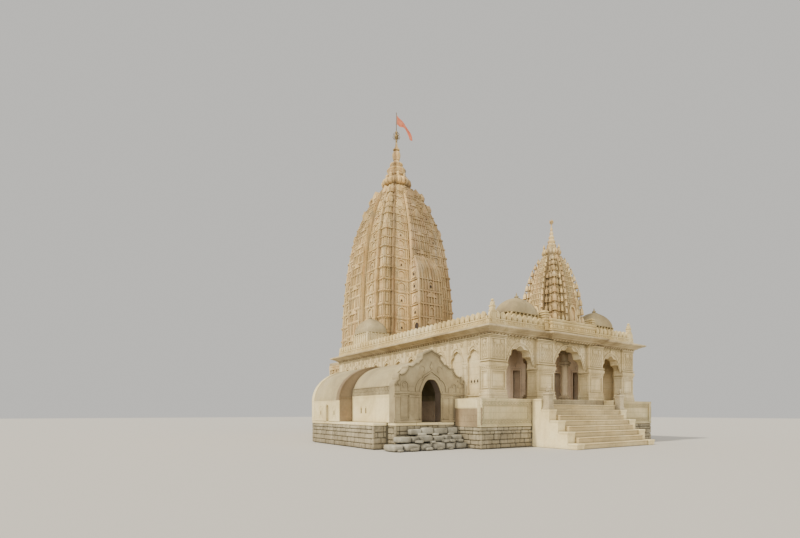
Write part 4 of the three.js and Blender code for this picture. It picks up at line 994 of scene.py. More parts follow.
def pier_dress(m, fr, u0, u1, w=0.0, fine=True, top=6.74, cap=True):
    """Base mouldings, framed lower panel, capital band and a carved upper panel on one face of a pier."""
    wd = u1 - u0; uc = (u0 + u1) / 2
    for (o, z0, z1) in ((0.05, 2.8, 2.94), (0.02, 2.94, 3.0), (0.035, 3.0, 3.08), (0.0, 3.08, 3.2), (0.02, 3.2, 3.27)):
        m.box(fr, u0 - o, u1 + o, w - 0.08, w + o, z0, z1, c=0.01)
    if cap:
        for (o, z0, z1) in ((0.0, 4.46, 4.52), (0.02, 4.56, 4.62), (0.045, 4.62, 4.7), (0.06, 4.7, 4.78), (0.03, 4.78, 4.84), (0.05, 4.9, 4.96)):
            m.box(fr, u0 - o, u1 + o, w - 0.08, w + o, z0, z1, c=0.01)
    a, b = u0 + 0.1 * wd, u1 - 0.1 * wd
    frame_rect(m, fr, a, b, 3.36, 4.4, w - 0.05, w + 0.02, 0.05)
    frame_rect(m, fr, a + 0.11, b - 0.11, 3.47, 4.29, w - 0.05, w - 0.005, 0.03)
    frame_rect(m, fr, a, b, 5.04, 6.22, w - 0.05, w + 0.02, 0.05)
    m.box(fr, u0 - 0.01, u1 + 0.01, w - 0.05, w + 0.02, 6.27, 6.31)
    m.box(fr, u0 - 0.02, u1 + 0.02, w - 0.05, w + 0.035, 6.35, 6.42, c=0.01)
    if fine:
        n = max(2, int((b - a - 0.2) / 0.2))
        for i in range(n + 1):
            u = a + 0.1 + (b - a - 0.2) * i / n
            m.box(fr, u - 0.02, u + 0.02, w - 0.05, w - 0.0, 5.12, 5.86)
        for i in range(n):
            u = a + 0.1 + (b - a - 0.2) * (i + 0.5) / n
            leaf(m, fr, u, 5.16, 0.05, 0.26, w - 0.05, w + 0.005)
            leaf(m, fr, u, 5.5, 0.045, 0.32, w - 0.05, w + 0.005)
        m.box(fr, a + 0.05, b - 0.05, w - 0.05, w + 0.01, 5.86, 5.90)
        k = 2 if wd > 1.0 else 1
        for i in range(k):
            rosette(m, fr, a + (b - a) * (i + 0.5) / k, 6.035, w - 0.01, 0.115)
        # small hanging petals under the capital
        n = max(3, int(wd / 0.16))
        for i in range(n):
            u = u0 + wd * (i + 0.5) / n
            m.prism(fr, [(u - 0.05, 4.56), (u, 4.5), (u + 0.05, 4.56)], w - 0.05, w + 0.015, back=False)


def spandrel(m, fr, xc, half, z0, z1, w0, w1, w_face, apex, tip):
    """Arched wall piece between two piers: foiled opening, pointed outline over it, scrolls beside."""
    arch = cusped(xc, half - 0.06, z0, apex, 5, 9, 0.3)
    P = []
    for (u, z) in arch:
        du, dz = u - xc, z - z0 + 1e-6
        s = min(half / max(abs(du), 1e-6), (z1 - z0) / max(dz, 1e-6))
        P.append([xc + du * s, z0 + dz * s])
    for cu in (-half, half):                       # make the outline turn the corners
        tgt = np.array([xc + cu, z1]); i = int(np.argmin([np.hypot(*(np.array(p) - tgt)) for p in P])); P[i] = list(tgt)
    m.ring(fr, arch, [tuple(p) for p in P], w0, w1)
    m.ring(fr, [tuple(p) for p in P], arch, w0, w0 + 0.001)          # the back of it
    # raised lip along the foils
    lip = [(xc + (u - xc) * 1.0, z) for u, z in arch]
    cen = np.array([xc, z0 + 0.1])
    out = [tuple(np.array(p) + (np.array(p) - cen) / (np.hypot(*(np.array(p) - cen)) + 1e-6) * 0.055) for p in lip]
    m.ring(fr, lip, out, w1 - 0.001, w1 + 0.03)
    # pointed outline with a leaf at its tip
    for (k, t, d) in ((1.0, 0.06, 0.05), (0.93, 0.03, 0.03)):
        o = pointed(xc, (half - 0.02) * k, z0 + 0.12, z0 + 0.12 + (tip - z0 - 0.12) * k, 22, 0.66, 1.75)
        i_ = pointed(xc, (half - 0.02) * k - t, z0 + 0.12, z0 + 0.12 + (tip - z0 - 0.12) * k - t * 1.3, 22, 0.66, 1.75)
        m.ring(fr, i_, o, w1 - 0.02, w1 + d)
    leaf(m, fr, xc, tip - 0.06, 0.13, 0.34, w1 - 0.02, w1 + 0.06)
    for s in (-1, 1):
        u = xc + s * half * 0.66
        zc = z1 - 0.62
        rosette(m, fr, u, zc, w1, 0.17)
        curl(m, fr, u, zc, 0.27, 0.2, 5.2, w1 - 0.02, w1 + 0.03, 0.04, 18)
        curl(m, fr, xc + s * half * 0.3, z1 - 0.48, 0.11, 0, 4.6, w1 - 0.02, w1 + 0.03, 0.035)
        curl(m, fr, xc + s * half * 0.87, z1 - 1.02, 0.12, 0, 4.6, w1 - 0.02, w1 + 0.03, 0.035)
        leaf(m, fr, xc + s * half * 0.9, z1 - 1.45, 0.06, 0.26, w1 - 0.02, w1 + 0.03)
    frame_rect(m, fr, xc - half, xc + half, z0 + 0.02, z1 - 0.12, w1 - 0.02, w1 + 0.035, 0.045) if False else None
    m.box(fr, xc - half, xc + half, w1 - 0.02, w1 + 0.04, z1 - 0.36, z1 - 0.31)
    for s in (-1, 1):
        m.box(fr, *sorted((xc + s * half, xc + s * (half - 0.05))), w1 - 0.02, w1 + 0.035, z0 + 0.3, z1 - 0.36)


def build_front():
    piers = [(-7.15, -5.75, 9.45), (-3.3, -1.7, 9.57), (1.7, 3.3, 9.57), (5.75, 7.15, 9.45)]
    for i, (x0, x1, yf) in enumerate(piers):
        m = M(f"front_pier_{i + 1}_carved")
        m.box(WORLD, x0 + 0.03, x1 - 0.03, 8.75, yf - 0.03, 2.8, 6.74 if i in (0, 3) else 6.42)
        if i in (1, 2):
            m.box(WORLD, x0 + 0.02, x1 - 0.02, 8.75, 9.44, 6.4, 6.74)
        F = wall((0, -yf, 0), 0)
        pier_dress(m, F, x0, x1, -0.0)
        L, R = wall((x0, 0, 0), 3), wall((x1, 0, 0), 1)
        # a wall turned to the left has u = -y, one turned to the right has u = y
        inner_l, inner_r = i != 0, i != 3
        pier_dress(m, L, 8.75, yf - 0.006, -0.004, fine=(i == 0)) if i == 0 else jamb(m, L, 8.75, yf - 0.008)
        pier_dress(m, R, -yf + 0.006, -8.75, -0.004, fine=(i == 3)) if i == 3 else jamb(m, R, -yf + 0.008, -8.75)
        m.make(MAT["hall"], (f"front_pier_{i + 1}",), "hall_plaster")
    F = WORLD
    for nm, xc, half, apex, tip in (("front_arch_left", -4.525, 1.225, 5.77, 6.12), ("front_arch_right", 4.525, 1.225, 5.77, 6.12), ("front_arch_middle", 0.0, 1.7, 6.02, 6.34)):
        m = M(nm + "_carved")
        spandrel(m, F, xc, half, 4.7, 6.74, 8.79, 9.31, 9.31, apex, tip)
        # impost blocks under the springing
        for s in (-1, 1):
            a, b = sorted((xc + s * half, xc + s * (half - 0.07)))
            m.box(F, a, b, 8.82, 9.36, 4.6, 4.7, c=0.01)
        m.make(MAT["hall"], (nm,), "hall_plaster")
    # columns of the porch
    for i, x in enumerate((-1.78, 1.78)):
        m = M(f"porch_column_{i + 1}_carved")
        y = -7.6
        def sq(h, z0, z1, c=0.02):
            m.box(WORLD, x - h, x + h, -y - h, -y + h, z0, z1, c=c)
        sq(.33, 2.8, 2.92); sq(.30, 2.92, 2.98); sq(.32, 2.98, 3.06); sq(.27, 3.06, 3.16)
        n = 16
        m.lathe(x, y, [(.245, 3.16), (.25, 3.3), (.235, 3.36), (.24, 4.0), (.255, 4.04), (.255, 4.12), (.24, 4.16), (.23, 5.1), (.25, 5.14), (.25, 5.2)], n, phase=math.pi / n)
        sq(.27, 5.2, 5.3); sq(.30, 5.32, 5.48); sq(.24, 5.48, 5.56)
        m.lathe(x, y, [(.25, 5.56), (.255, 5.7), (.25, 6.05)], 8, phase=math.pi / 8)
        for j, (h0, z0, z1) in enumerate(((.28, 6.05, 6.16), (.34, 6.16, 6.26), (.41, 6.26, 6.36), (.47, 6.36, 6.45), (.52, 6.45, 6.6), (.5, 6.6, 6.74))):
            sq(h0, z0, z1, c=0.025)
        m.make(MAT["column"], (f"porch_column_{i + 1}",), "carved_stone")
    # wall behind the porch with its three doorways
    m = M("inner_wall_plastered")
    Fi = wall((0, -6.76, 0), 0); Bi = wall((0, -6.26, 0), 2)
    xs = [-6.35, -4.675, -3.825, -2.385, -1.735, -0.95, 0.95, 1.735, 2.385, 3.825, 4.675, 6.35]
    for a, b in ((0, 1), (2, 3), (4, 5), (6, 7), (8, 9), (10, 11)):
        m.box(Fi, xs[a], xs[b], -0.49, -0.01, 2.8, 6.74)
    for a, b, zt in ((1, 2, 4.95), (3, 4, 4.79), (5, 6, 5.7), (7, 8, 4.79), (9, 10, 4.95)):
        m.box(Fi, xs[a], xs[b], -0.49, -0.01, zt, 6.74)
        for fr, s in ((Fi, 1), (Bi, -1)):
            u0, u1 = sorted((xs[a] * s, xs[b] * s))
            for (o, t, d) in ((0.0, 0.1, 0.02), (0.14, 0.06, 0.01)):
                m.box(fr, u0 - o - t, u0 - o, -0.02, d, 2.8, zt + o + t); m.box(fr, u1 + o, u1 + o + t, -0.02, d, 2.8, zt + o + t)
                m.box(fr, u0 - o, u1 + o, -0.02, d, zt + o, zt + o + t)
            leaf(m, fr, (u0 + u1) / 2, zt + 0.2, 0.12, 0.3, -0.02, 0.02)
    m.box(Fi, -6.35, 6.35, -0.02, 0.02, 6.3, 6.42); m.box(Fi, -6.35, 6.35, -0.02, 0.03, 2.8, 2.95)
    # the wall behind the porch takes the near-white inner plaster: painted light on a shaded face
    m.make(MAT["inner"], ("inner_wall",), "hall_plaster")


def jamb(m, fr, u0, u1):
    """Face of a pier inside an arch."""
    for (o, z0, z1) in ((0.03, 2.8, 2.94), (0.015, 3.0, 3.08)):
        m.box(fr, u0, u1, -0.06, o, z0, z1)
    m.box(fr, u0, u1, -0.06, 0.02, 4.46, 4.52)
    m.box(fr, u0, u1, -0.06, 0.04, 4.58, 4.69)
    wd = u1 - u0
    frame_rect(m, fr, u0 + 0.12 * wd, u1 - 0.12 * wd, 3.2, 4.38, -0.05, 0.0, 0.045)


build_front()


# ------------------------------------------------------------------ walls of the hall and the sanctum
def blind_bay(m, fr, uc, hw, holes=None, w=0.0):
    """A blind foiled arch in a framed bay, with its field sunk 0.1 m."""
    nh, zs, za, zt = min(0.52, hw - 0.2), 4.85, 5.66, 6.32
    arch = cusped(uc, nh, zs, za, 5, 6, 0.24)
    P = []
    for (u, z) in arch:
        du, dz = u - uc, z - zs + 1e-6
        s = min((hw - 0.1) / max(abs(du), 1e-6), (zt - zs) / max(dz, 1e-6))
        P.append([uc + du * s, zs + dz * s])
    for cu in (-(hw - 0.1), hw - 0.1):
        tgt = np.array([uc + cu, zt]); i = int(np.argmin([np.hypot(*(np.array(p) - tgt)) for p in P])); P[i] = list(tgt)
    m.ring(fr, arch, [tuple(p) for p in P], w - 0.12, w)
    for s in (-1, 1):
        a, b = sorted((uc + s * (hw - 0.1), uc + s * nh))
        m.box(fr, a, b, w - 0.12, w, 2.8, zs)
        a, b = sorted((uc + s * nh, uc + s * (nh + 0.05)))
        m.box(fr, a, b, w - 0.001, w + 0.03, 3.1, zs)
        # small shaft with cap and foot
        a, b = sorted((uc + s * (nh + 0.01), uc + s * (nh + 0.12)))
        m.box(fr, a, b, w - 0.02, w + 0.045, zs - 0.12, zs - 0.04, c=0.01)
        m.box(fr, a, b, w - 0.02, w + 0.045, 2.96, 3.1, c=0.01)
    cen = np.array([uc, zs])
    out = [tuple(np.array(p) + (np.array(p) - cen) / (np.hypot(*(np.array(p) - cen)) + 1e-6) * 0.05) for p in arch]
    m.ring(fr, arch, out, w - 0.001, w + 0.035)
    for (k, t, d) in ((1.0, 0.04, 0.04),):
        o = pointed(uc, nh + 0.13, zs, za + 0.22, 18, 0.66, 1.75); i_ = pointed(uc, nh + 0.13 - t, zs, za + 0.22 - t * 1.3, 18, 0.66, 1.75)
        m.ring(fr, i_, o, w - 0.02, w + d)
    leaf(m, fr, uc, za + 0.16, 0.09, 0.3, w - 0.02, w + 0.05)
    frame_rect(m, fr, uc - hw + 0.12, uc + hw - 0.12, 2.98, 6.26, w - 0.02, w + 0.03, 0.045)
    for s in (-1, 1):
        rosette(m, fr, uc + s * (hw - 0.36), 6.03, w, 0.1)
        curl(m, fr, uc + s * (hw - 0.36), 6.03, 0.15, 0.3, 5.2, w - 0.02, w + 0.025, 0.03, 12)


def strip(m, fr, u, hw=0.1, w=0.0, z0=2.8, z1=6.32):
    """A pilaster strip between two bays."""
    m.box(fr, u - hw, u + hw, w - 0.12, w + 0.035, z0, z1)
    m.box(fr, u - hw - 0.02, u + hw + 0.02, w - 0.05, w + 0.06, z0, z0 + 0.14, c=0.01)
    m.box(fr, u - hw - 0.01, u + hw + 0.01, w - 0.05, w + 0.05, z0 + 0.2, z0 + 0.27, c=0.01)
    for (o, a, b) in ((0.0, 4.5, 4.56), (0.02, 4.6, 4.68), (0.035, 4.68, 4.76), (0.015, 4.84, 4.9)):
        m.box(fr, u - hw - o, u + hw + o, w - 0.05, w + 0.045 + o, a, b, c=0.01)
    m.box(fr, u - hw * 0.45, u + hw * 0.45, w, w + 0.05, 5.0, 6.2)
    m.box(fr, u - hw * 0.45, u + hw * 0.45, w, w + 0.05, 3.2, 4.4)


def top_band(m, fr, u0, u1, w=0.0):
    m.box(fr, u0, u1, w - 0.12, w + 0.03, 6.31, 6.36)
    m.box(fr, u0, u1, w - 0.12, w + 0.0, 6.36, 6.74)


def base_band(m, fr, u0, u1, w=0.0):
    m.box(fr, u0, u1, w - 0.12, w + 0.035, 2.8, 2.9)
    m.box(fr, u0, u1, w - 0.12, w + 0.02, 2.94, 2.98)


def build_walls():
    for nm, q, x in (("left", 3, -7.15), ("right", 1, 7.15)):
        m = M(f"{nm}_wall_carved")
        fr = wall((x, 0, 0), q)
        sg = -1 if q == 3 else 1                 # u = sg * y
        U = lambda y: sg * y
        a, b = sorted((U(-8.745), U(9.43)))
        m.box(fr, a, b, -0.78, -0.10, 2.8, 6.74)
        bw = 1.6
        y0 = -7.5
        # the first bay, next to the corner pier, is narrower
        blind_bay(m, fr, U(-8.17), 0.58 + 0.1)
        strip(m, fr, U(-7.5))
        n = 10
        for i in range(n):
            yc = y0 + bw * (i + 0.5)
            blind_bay(m, fr, U(yc), bw / 2)
            strip(m, fr, U(y0 + bw * (i + 1)))
        e0, e1 = sorted((U(y0 + bw * n + 0.1), U(9.444)))
        m.box(fr, e0, e1, -0.12, -0.004, 2.803, 6.737)
        frame_rect(m, fr, e0 + 0.08, e1 - 0.12, 3.2, 4.4, -0.05, 0.02, 0.05); frame_rect(m, fr, e0 + 0.08, e1 - 0.12, 5.0, 6.22, -0.05, 0.02, 0.05)
        a, b = sorted((U(-8.75), U(9.45)))
        top_band(m, fr, a, b); base_band(m, fr, a, b)
        # end facing the back and the room side
        bk = wall((0, 9.45, 0), 2)
        u0, u1 = sorted((-x, -x + sg * 0.8))
        v0, v1 = sorted((-x + sg * 0.06, -x + sg * 0.79))
        m.box(bk, v0, v1, -0.7, -0.012, 2.806, 6.734)
        frame_rect(m, bk, u0 + 0.12, u1 - 0.12, 3.2, 6.4, -0.05, 0.02, 0.05)
        ins = wall((x - sg * 0.8, 0, 0), 1 if q == 3 else 3)
        c0, c1 = sorted((U(-8.7) * -1, U(9.4) * -1))
        for (z0, z1, d) in ((2.8, 2.95, 0.02), (6.3, 6.4, 0.02), (6.5, 6.72, 0.03)):
            m.box(ins, c0 if False else -9.4 if q == 1 else -8.7, 8.7 if q == 1 else 9.4, -0.03, d, z0, z1)
        m.make(MAT["hall"], (f"{nm}_wall",), "hall_plaster")
    # three small square holes low in the first bay of the left wall, shown as dark plates of painted shade
    d = M("wall_vents_painted_shade")
    L = wall((-7.15, 0, 0), 3); R = wall((7.15, 0, 0), 1)
    for fr, sg in ((L, -1), (R, 1)):
        for y in (-8.44, -8.17, -7.9):
            u = sg * y
            d.prism(fr, [(u - 0.06, 3.72), (u + 0.06, 3.72), (u + 0.065, 3.84), (u, 3.93), (u - 0.065, 3.84)], -0.12, -0.096, back=False)
    d.make(MAT["dark"], (), "hall_plaster")
    v = M("wall_vent_frames")
    for fr, sg in ((L, -1), (R, 1)):
        for y in (-8.44, -8.17, -7.9):
            u = sg * y
            o = [(u - 0.1, 3.68), (u + 0.1, 3.68), (u + 0.105, 3.86), (u, 3.99), (u - 0.105, 3.86)]
            i_ = [(u - 0.06, 3.72), (u + 0.06, 3.72), (u + 0.065, 3.84), (u, 3.93), (u - 0.065, 3.84)]
            v.ring(fr, i_, o, -0.12, -0.075, closed=True)
    v.make(MAT["hall"], (), "hall_plaster")


build_walls()


def build_sanctum():
    ty1 = 16.05
    specs = []
    for nm, sx in (("left", -1), ("right", 1)):
        m = M(f"sanctum_wall_{nm}_carved")
        # core follows the L plan
        W = WORLD
        def bx(x0, x1, y0, y1, z0=2.8, z1=6.74):
            a, b = sorted((sx * -x0, sx * -x1)); m.box(W, a, b, -y1, -y0, z0, z1)
        bx(-6.33, -3.72, 6.97, 9.35); bx(-4.9, -3.72, 9.35, 16.03)
        q = 3 if sx < 0 else 1
        fr = wall((sx * 5.0, 0, 0), q); U = lambda y: -y if q == 3 else y
        a, b = sorted((U(9.45), U(16.05)))
        panelled_wall(m, fr, a, b)
        bk = wall((0, 9.45, 0), 2)
        a, b = sorted((sx * -1 * 5.0 * 1.0, sx * -1 * 6.35))
        m.box(bk, a, b, -0.12, 0.0, 2.8, 6.74)
        frame_rect(m, bk, a + 0.1, b - 0.1, 3.2, 6.4, -0.05, 0.02, 0.05)
        m.make(MAT["tower"], (f"sanctum_wall_{nm}",), "spire_stone")
    m = M("sanctum_wall_back_carved")
    m.box(WORLD, -3.68, 3.68, -15.95, -14.77, 2.8, 6.74)
    bk = wall((0, ty1, 0), 2)
    panelled_wall(m, bk, -5.0, 5.0, core=(-3.7, 3.7))
    m.make(MAT["tower"], ("sanctum_wall_back",), "spire_stone")
    m = M("sanctum_wall_front_plastered")
    F = wall((0, 6.05, 0), 0)
    m.box(F, -6.33, -0.9, -0.89, -0.01, 2.8, 6.74); m.box(F, 0.9, 6.33, -0.89, -0.01, 2.8, 6.74); m.box(F, -0.9, 0.9, -0.89, -0.01, 5.5, 6.74)
    for (o, t, d) in ((0.0, 0.12, 0.03), (0.16, 0.08, 0.02), (0.28, 0.05, 0.01)):
        m.box(F, -0.9 - o - t, -0.9 - o, -0.02, d, 2.8, 5.5 + o + t); m.box(F, 0.9 + o, 0.9 + o + t, -0.02, d, 2.8, 5.5 + o + t)
        m.box(F, -0.9 - o, 0.9 + o, -0.02, d, 5.5 + o, 5.5 + o + t)
    m.box(F, -6.33, 6.33, -0.02, 0.03, 2.8, 2.95); m.box(F, -6.33, 6.33, -0.02, 0.03, 6.3, 6.42)
    for u in (-5.2, -3.6, -2.2, 2.2, 3.6, 5.2):
        strip(m, F, u, 0.1, -0.02, 2.8, 6.3)
    # this inner wall takes the near-white inner plaster: painted light on a shaded face
    m.make(MAT["inner"], ("sanctum_wall_front",), "hall_plaster")


def panelled_wall(m, fr, a, b, core=None):
    """Foot mouldings, tall panels with niches between shafts, and mouldings under the roof edge."""
    c0, c1 = core or (a, b)
    for (o, z0, z1) in ((0.03, 2.8, 3.0), (-0.02, 3.0, 3.08), (0.02, 3.08, 3.2), (-0.03, 3.2, 3.4), (0.02, 3.4, 3.5), (0.0, 4.56, 4.64), (0.03, 4.64, 4.76), (0.0, 4.84, 4.9), (0.01, 6.3, 6.4), (0.03, 6.4, 6.52), (0.0, 6.52, 6.6), (0.03, 6.6, 6.74)):
        m.box(fr, c0, c1, -0.2, o, z0, z1)
    n = max(3, int((c1 - c0) / 1.3))
    wd = (c1 - c0) / n
    for i in range(n):
        u0 = c0 + wd * i
        # strips lie 4 mm behind the mouldings, at the face and at both ends of the wall
        e0, e1 = (0.004 if i == 0 else 0.0), (0.004 if i == n - 1 else 0.0)
        m.box(fr, u0 + e0, u0 + 0.16, -0.2, -0.004, 3.4, 6.4); m.box(fr, u0 + wd - 0.16, u0 + wd - e1, -0.2, -0.004, 3.4, 6.4)
        m.box(fr, u0 + 0.16, u0 + wd - 0.16, -0.2, -0.08, 3.4, 6.4)
        niche(m, fr, u0 + wd / 2, -0.03, 3.6, 4.5, 0.27, leaf=False)
        niche(m, fr, u0 + wd / 2, -0.03, 4.98, 6.26, 0.3)
        for s in (-1, 1):
            m.box(fr, u0 + wd / 2 + s * 0.4 - 0.03, u0 + wd / 2 + s * 0.4 + 0.03, -0.1, -0.03, 3.56, 4.5)
            m.box(fr, u0 + wd / 2 + s * 0.4 - 0.03, u0 + wd / 2 + s * 0.4 + 0.03, -0.1, -0.03, 4.96, 6.24)


build_sanctum()


# ------------------------------------------------------------------ roof edge
AH = 2.2                                     # half width of the part that stands forward
EAVE = [(0.0, 6.462), (0.05, 6.462), (0.07, 6.50), (0.19, 6.53), (0.20, 6.565), (0.23, 6.59), (0.37, 6.635), (0.385, 6.66), (0.54, 6.70), (0.56, 6.725), (0.60, 6.73), (0.60, 6.80), (0.565, 6.81), (0.55, 6.835), (0.39, 6.865),
        (0.375, 6.89), (0.20, 6.92), (0.185, 6.945), (0.0, 6.98)]


def sweep_pts(m, path, prof):
    """prof as (out, z) anticlockwise in (out, z); path as (x, y, dx, dy) going clockwise seen from above."""
    m.sweep(path, prof)


def build_eaves():
    f, b = -9.45, 9.45
    for nm, path in (("front", [(7.15, f, 1, -1), (AH, f, 1, -1), (AH, f - 0.3, 1, -1), (-AH, f - 0.3, -1, -1), (-AH, f, -1, -1), (-7.15, f, -1, -1)]),
                     ("left", [(-7.15, f, -1, -1), (-7.15, b, -1, 1), (-5.0, b, 0, 1)]),
                     ("right", [(5.0, b, 0, 1), (7.15, b, 1, 1), (7.15, f, 1, -1)])):
        m = M(f"eave_{nm}_moulded")
        m.sweep(path, EAVE)
        # small blocks under the eave, close to the wall
        for k in range(len(path) - 1):
            x0, y0, dx0, dy0 = path[k]; x1, y1, dx1, dy1 = path[k + 1]
            L = math.hypot(x1 - x0, y1 - y0)
            if L < 1.0:
                continue
            q = 0 if (y0 == y1 and y0 < 0) else 2 if y0 == y1 else 3 if x0 < 0 else 1
            fr = wall((0 if y0 == y1 else x0, 0 if x0 == x1 else y0, 0), q)
            us = sorted([{0: x0, 1: y0, 2: -x0, 3: -y0}[q], {0: x1, 1: y1, 2: -x1, 3: -y1}[q]])
            n = int(L / 0.27)
            for i in range(n):
                u = us[0] + (us[1] - us[0]) * (i + 0.5) / n
                P = [(0.0, 6.39), (0.0, 6.46), (0.10, 6.50), (0.10, 6.46), (0.06, 6.41)]
                m.run(fr, P, u - 0.06, u + 0.06)
        if nm == "front":
            m.box(WORLD, -AH, AH, 9.47, 9.74, 6.47, 6.745)
        m.make(MAT["roof"], (f"eave_{nm}",), "roof_plaster")


build_eaves()


def merlon(m, fr, u, w0, w1, z, hw=0.18, h=0.46):
    pts = [(-0.82, 0), (0.82, 0), (0.9, 0.2), (1.0, 0.42), (0.92, 0.62), (0.66, 0.8), (0.32, 0.92), (0.0, 1.0), (-0.32, 0.92), (-0.66, 0.8), (-0.92, 0.62), (-1.0, 0.42), (-0.9, 0.2)]
    poly = [(u + a * hw, z + b * h) for a, b in pts]
    m.prism(fr, poly, w0, w1)
    m.prism(fr, [(u + a * hw * 0.6, z + 0.08 + b * h * 0.68) for a, b in pts], w1 - 0.01, w1 + 0.025, back=False)


def parapet_run(m, fr, u0, u1, w=0.0, z0=7.02, pitch=0.44, thick=0.32):
    m.box(fr, u0, u1, w - thick, w, z0 - 0.025, z0 + 0.07)
    m.box(fr, u0, u1, w - thick + 0.02, w - 0.03, z0 + 0.07, z0 + 0.24)
    m.box(fr, u0, u1, w - thick, w, z0 + 0.22, z0 + 0.28)
    n = max(1, int(round((u1 - u0) / pitch)))
    for i in range(n):
        u = u0 + (u1 - u0) * (i + 0.5) / n
        merlon(m, fr, u, w - 0.17, w - 0.03, z0 + 0.26, 0.185)
        # lozenge in the frieze under each petal
        m.prism(fr, [(u - 0.1, z0 + 0.145), (u, z0 + 0.09), (u + 0.1, z0 + 0.145), (u, z0 + 0.2)], w - 0.04, w - 0.01, back=False)
        m.box(fr, u - pitch / 2 - 0.012 if i else u0, u - pitch / 2 + 0.012 if i else u0 + 0.02, w - 0.04, w - 0.012, z0 + 0.08, z0 + 0.21)
    m.box(fr, u0, u1, w - thick, w - 0.19, z0 + 0.28, z0 + 0.42)


def build_parapets():
    f = -9.45
    m = M("parapet_front_carved")
    F = wall((0, f, 0), 0)
    parapet_run(m, F, -7.13, -AH + 0.02); parapet_run(m, F, AH - 0.02, 7.13)
    # attic over the middle arch: plain courses with a band of small motifs
    A = wall((0, f - 0.3, 0), 0)
    for (o, z0, z1) in ((0.0, 7.02, 7.1), (-0.04, 7.1, 7.15), (-0.01, 7.15, 7.2), (-0.05, 7.2, 7.42), (-0.01, 7.42, 7.48), (0.015, 7.48, 7.56), (-0.03, 7.56, 7.62), (0.0, 7.62, 7.68), (0.02, 7.68, 7.735)):
        m.box(A, -AH - o, AH + o, -0.31, o, z0, z1, c=0.008)
    for i in range(11):
        u = -AH + 0.2 + (2 * AH - 0.4) * i / 10
        if i % 2:
            rosette(m, A, u, 7.31, -0.045, 0.085, 6, 0.025)
        else:
            m.prism(A, [(u - 0.09, 7.31), (u, 7.235), (u + 0.09, 7.31), (u, 7.385)], -0.06, -0.02, back=False)
    for i in range(10):
        u = -AH + 0.42 + (2 * AH - 0.84) * i / 9
        m.box(A, u - 0.012, u + 0.012, -0.06, -0.02, 7.21, 7.41)
    # blocks at its ends, with stacked mouldings and a small cap
    for s in (-1, 1):
        x0, x1 = sorted((s * 2.14, s * 2.52))
        for (o, z0, z1) in ((0.0, 7.02, 7.2), (-0.03, 7.2, 7.5), (0.0, 7.5, 7.57), (-0.04, 7.57, 7.66), (0.0, 7.66, 7.74), (-0.05, 7.74, 7.84), (-0.01, 7.84, 7.9), (-0.05, 7.9, 8.0), (-0.0, 8.0, 8.07), (-0.06, 8.07, 8.14), (-0.02, 8.14, 8.2), (-0.08, 8.2, 8.25), (-0.12, 8.25, 8.29)):
            m.box(WORLD, x0 - o, x1 + o, 8.90 - o, 9.52 + o, z0, z1, c=0.01)
    # pinnacles at the corners: post, lotus and leaves
    for s in (-1, 1):
        x, y = s * 6.75, -9.29
        for (h, z0, z1) in ((0.175, 7.02, 7.66), (0.155, 7.66, 7.72), (0.175, 7.72, 7.8), (0.13, 7.8, 7.98), (0.16, 7.98, 8.04), (0.12, 8.04, 8.08)):
            m.box(WORLD, x - h, x + h, -y - min(h, 0.149), -y + min(h, 0.149), z0, z1, c=0.015)
        m.lathe(x, y, [(0.05, 8.06), (0.10, 8.1), (0.14, 8.16), (0.12, 8.22), (0.06, 8.25), (0.05, 8.28), (0.09, 8.32), (0.1, 8.37), (0.05, 8.41), (0.005, 8.42)], 24, lobes=8, depth=0.12, zr=(8.08, 8.2), sy=0.9)
        for t in range(8):
            a = t * math.pi / 4
            fr = Plane((x, y, 0), (math.cos(a), math.sin(a), 0), (math.sin(a), -math.cos(a), 0))
            leaf(m, fr, 0.0, 8.0, 0.055, 0.26, 0.10, 0.13)
    m.make(MAT["merlon"], ("parapet_front",), "hall_plaster")
    for nm, q, x in (("left", 3, -7.15), ("right", 1, 7.15)):
        m = M(f"parapet_{nm}_carved")
        fr = wall((x, 0, 0), q)
        a, b = sorted((9.13 if q == 3 else -9.13, -9.43 if q == 3 else 9.43))
        parapet_run(m, fr, a, b)
        bk = wall((0, 9.45, 0), 2)
        a, b = sorted((-x * (6.83 / 7.15), -x * (5.08 / 7.15)))
        parapet_run(m, bk, a, b)
        m.make(MAT["merlon"], (f"parapet_{nm}",), "hall_plaster")


build_parapets()


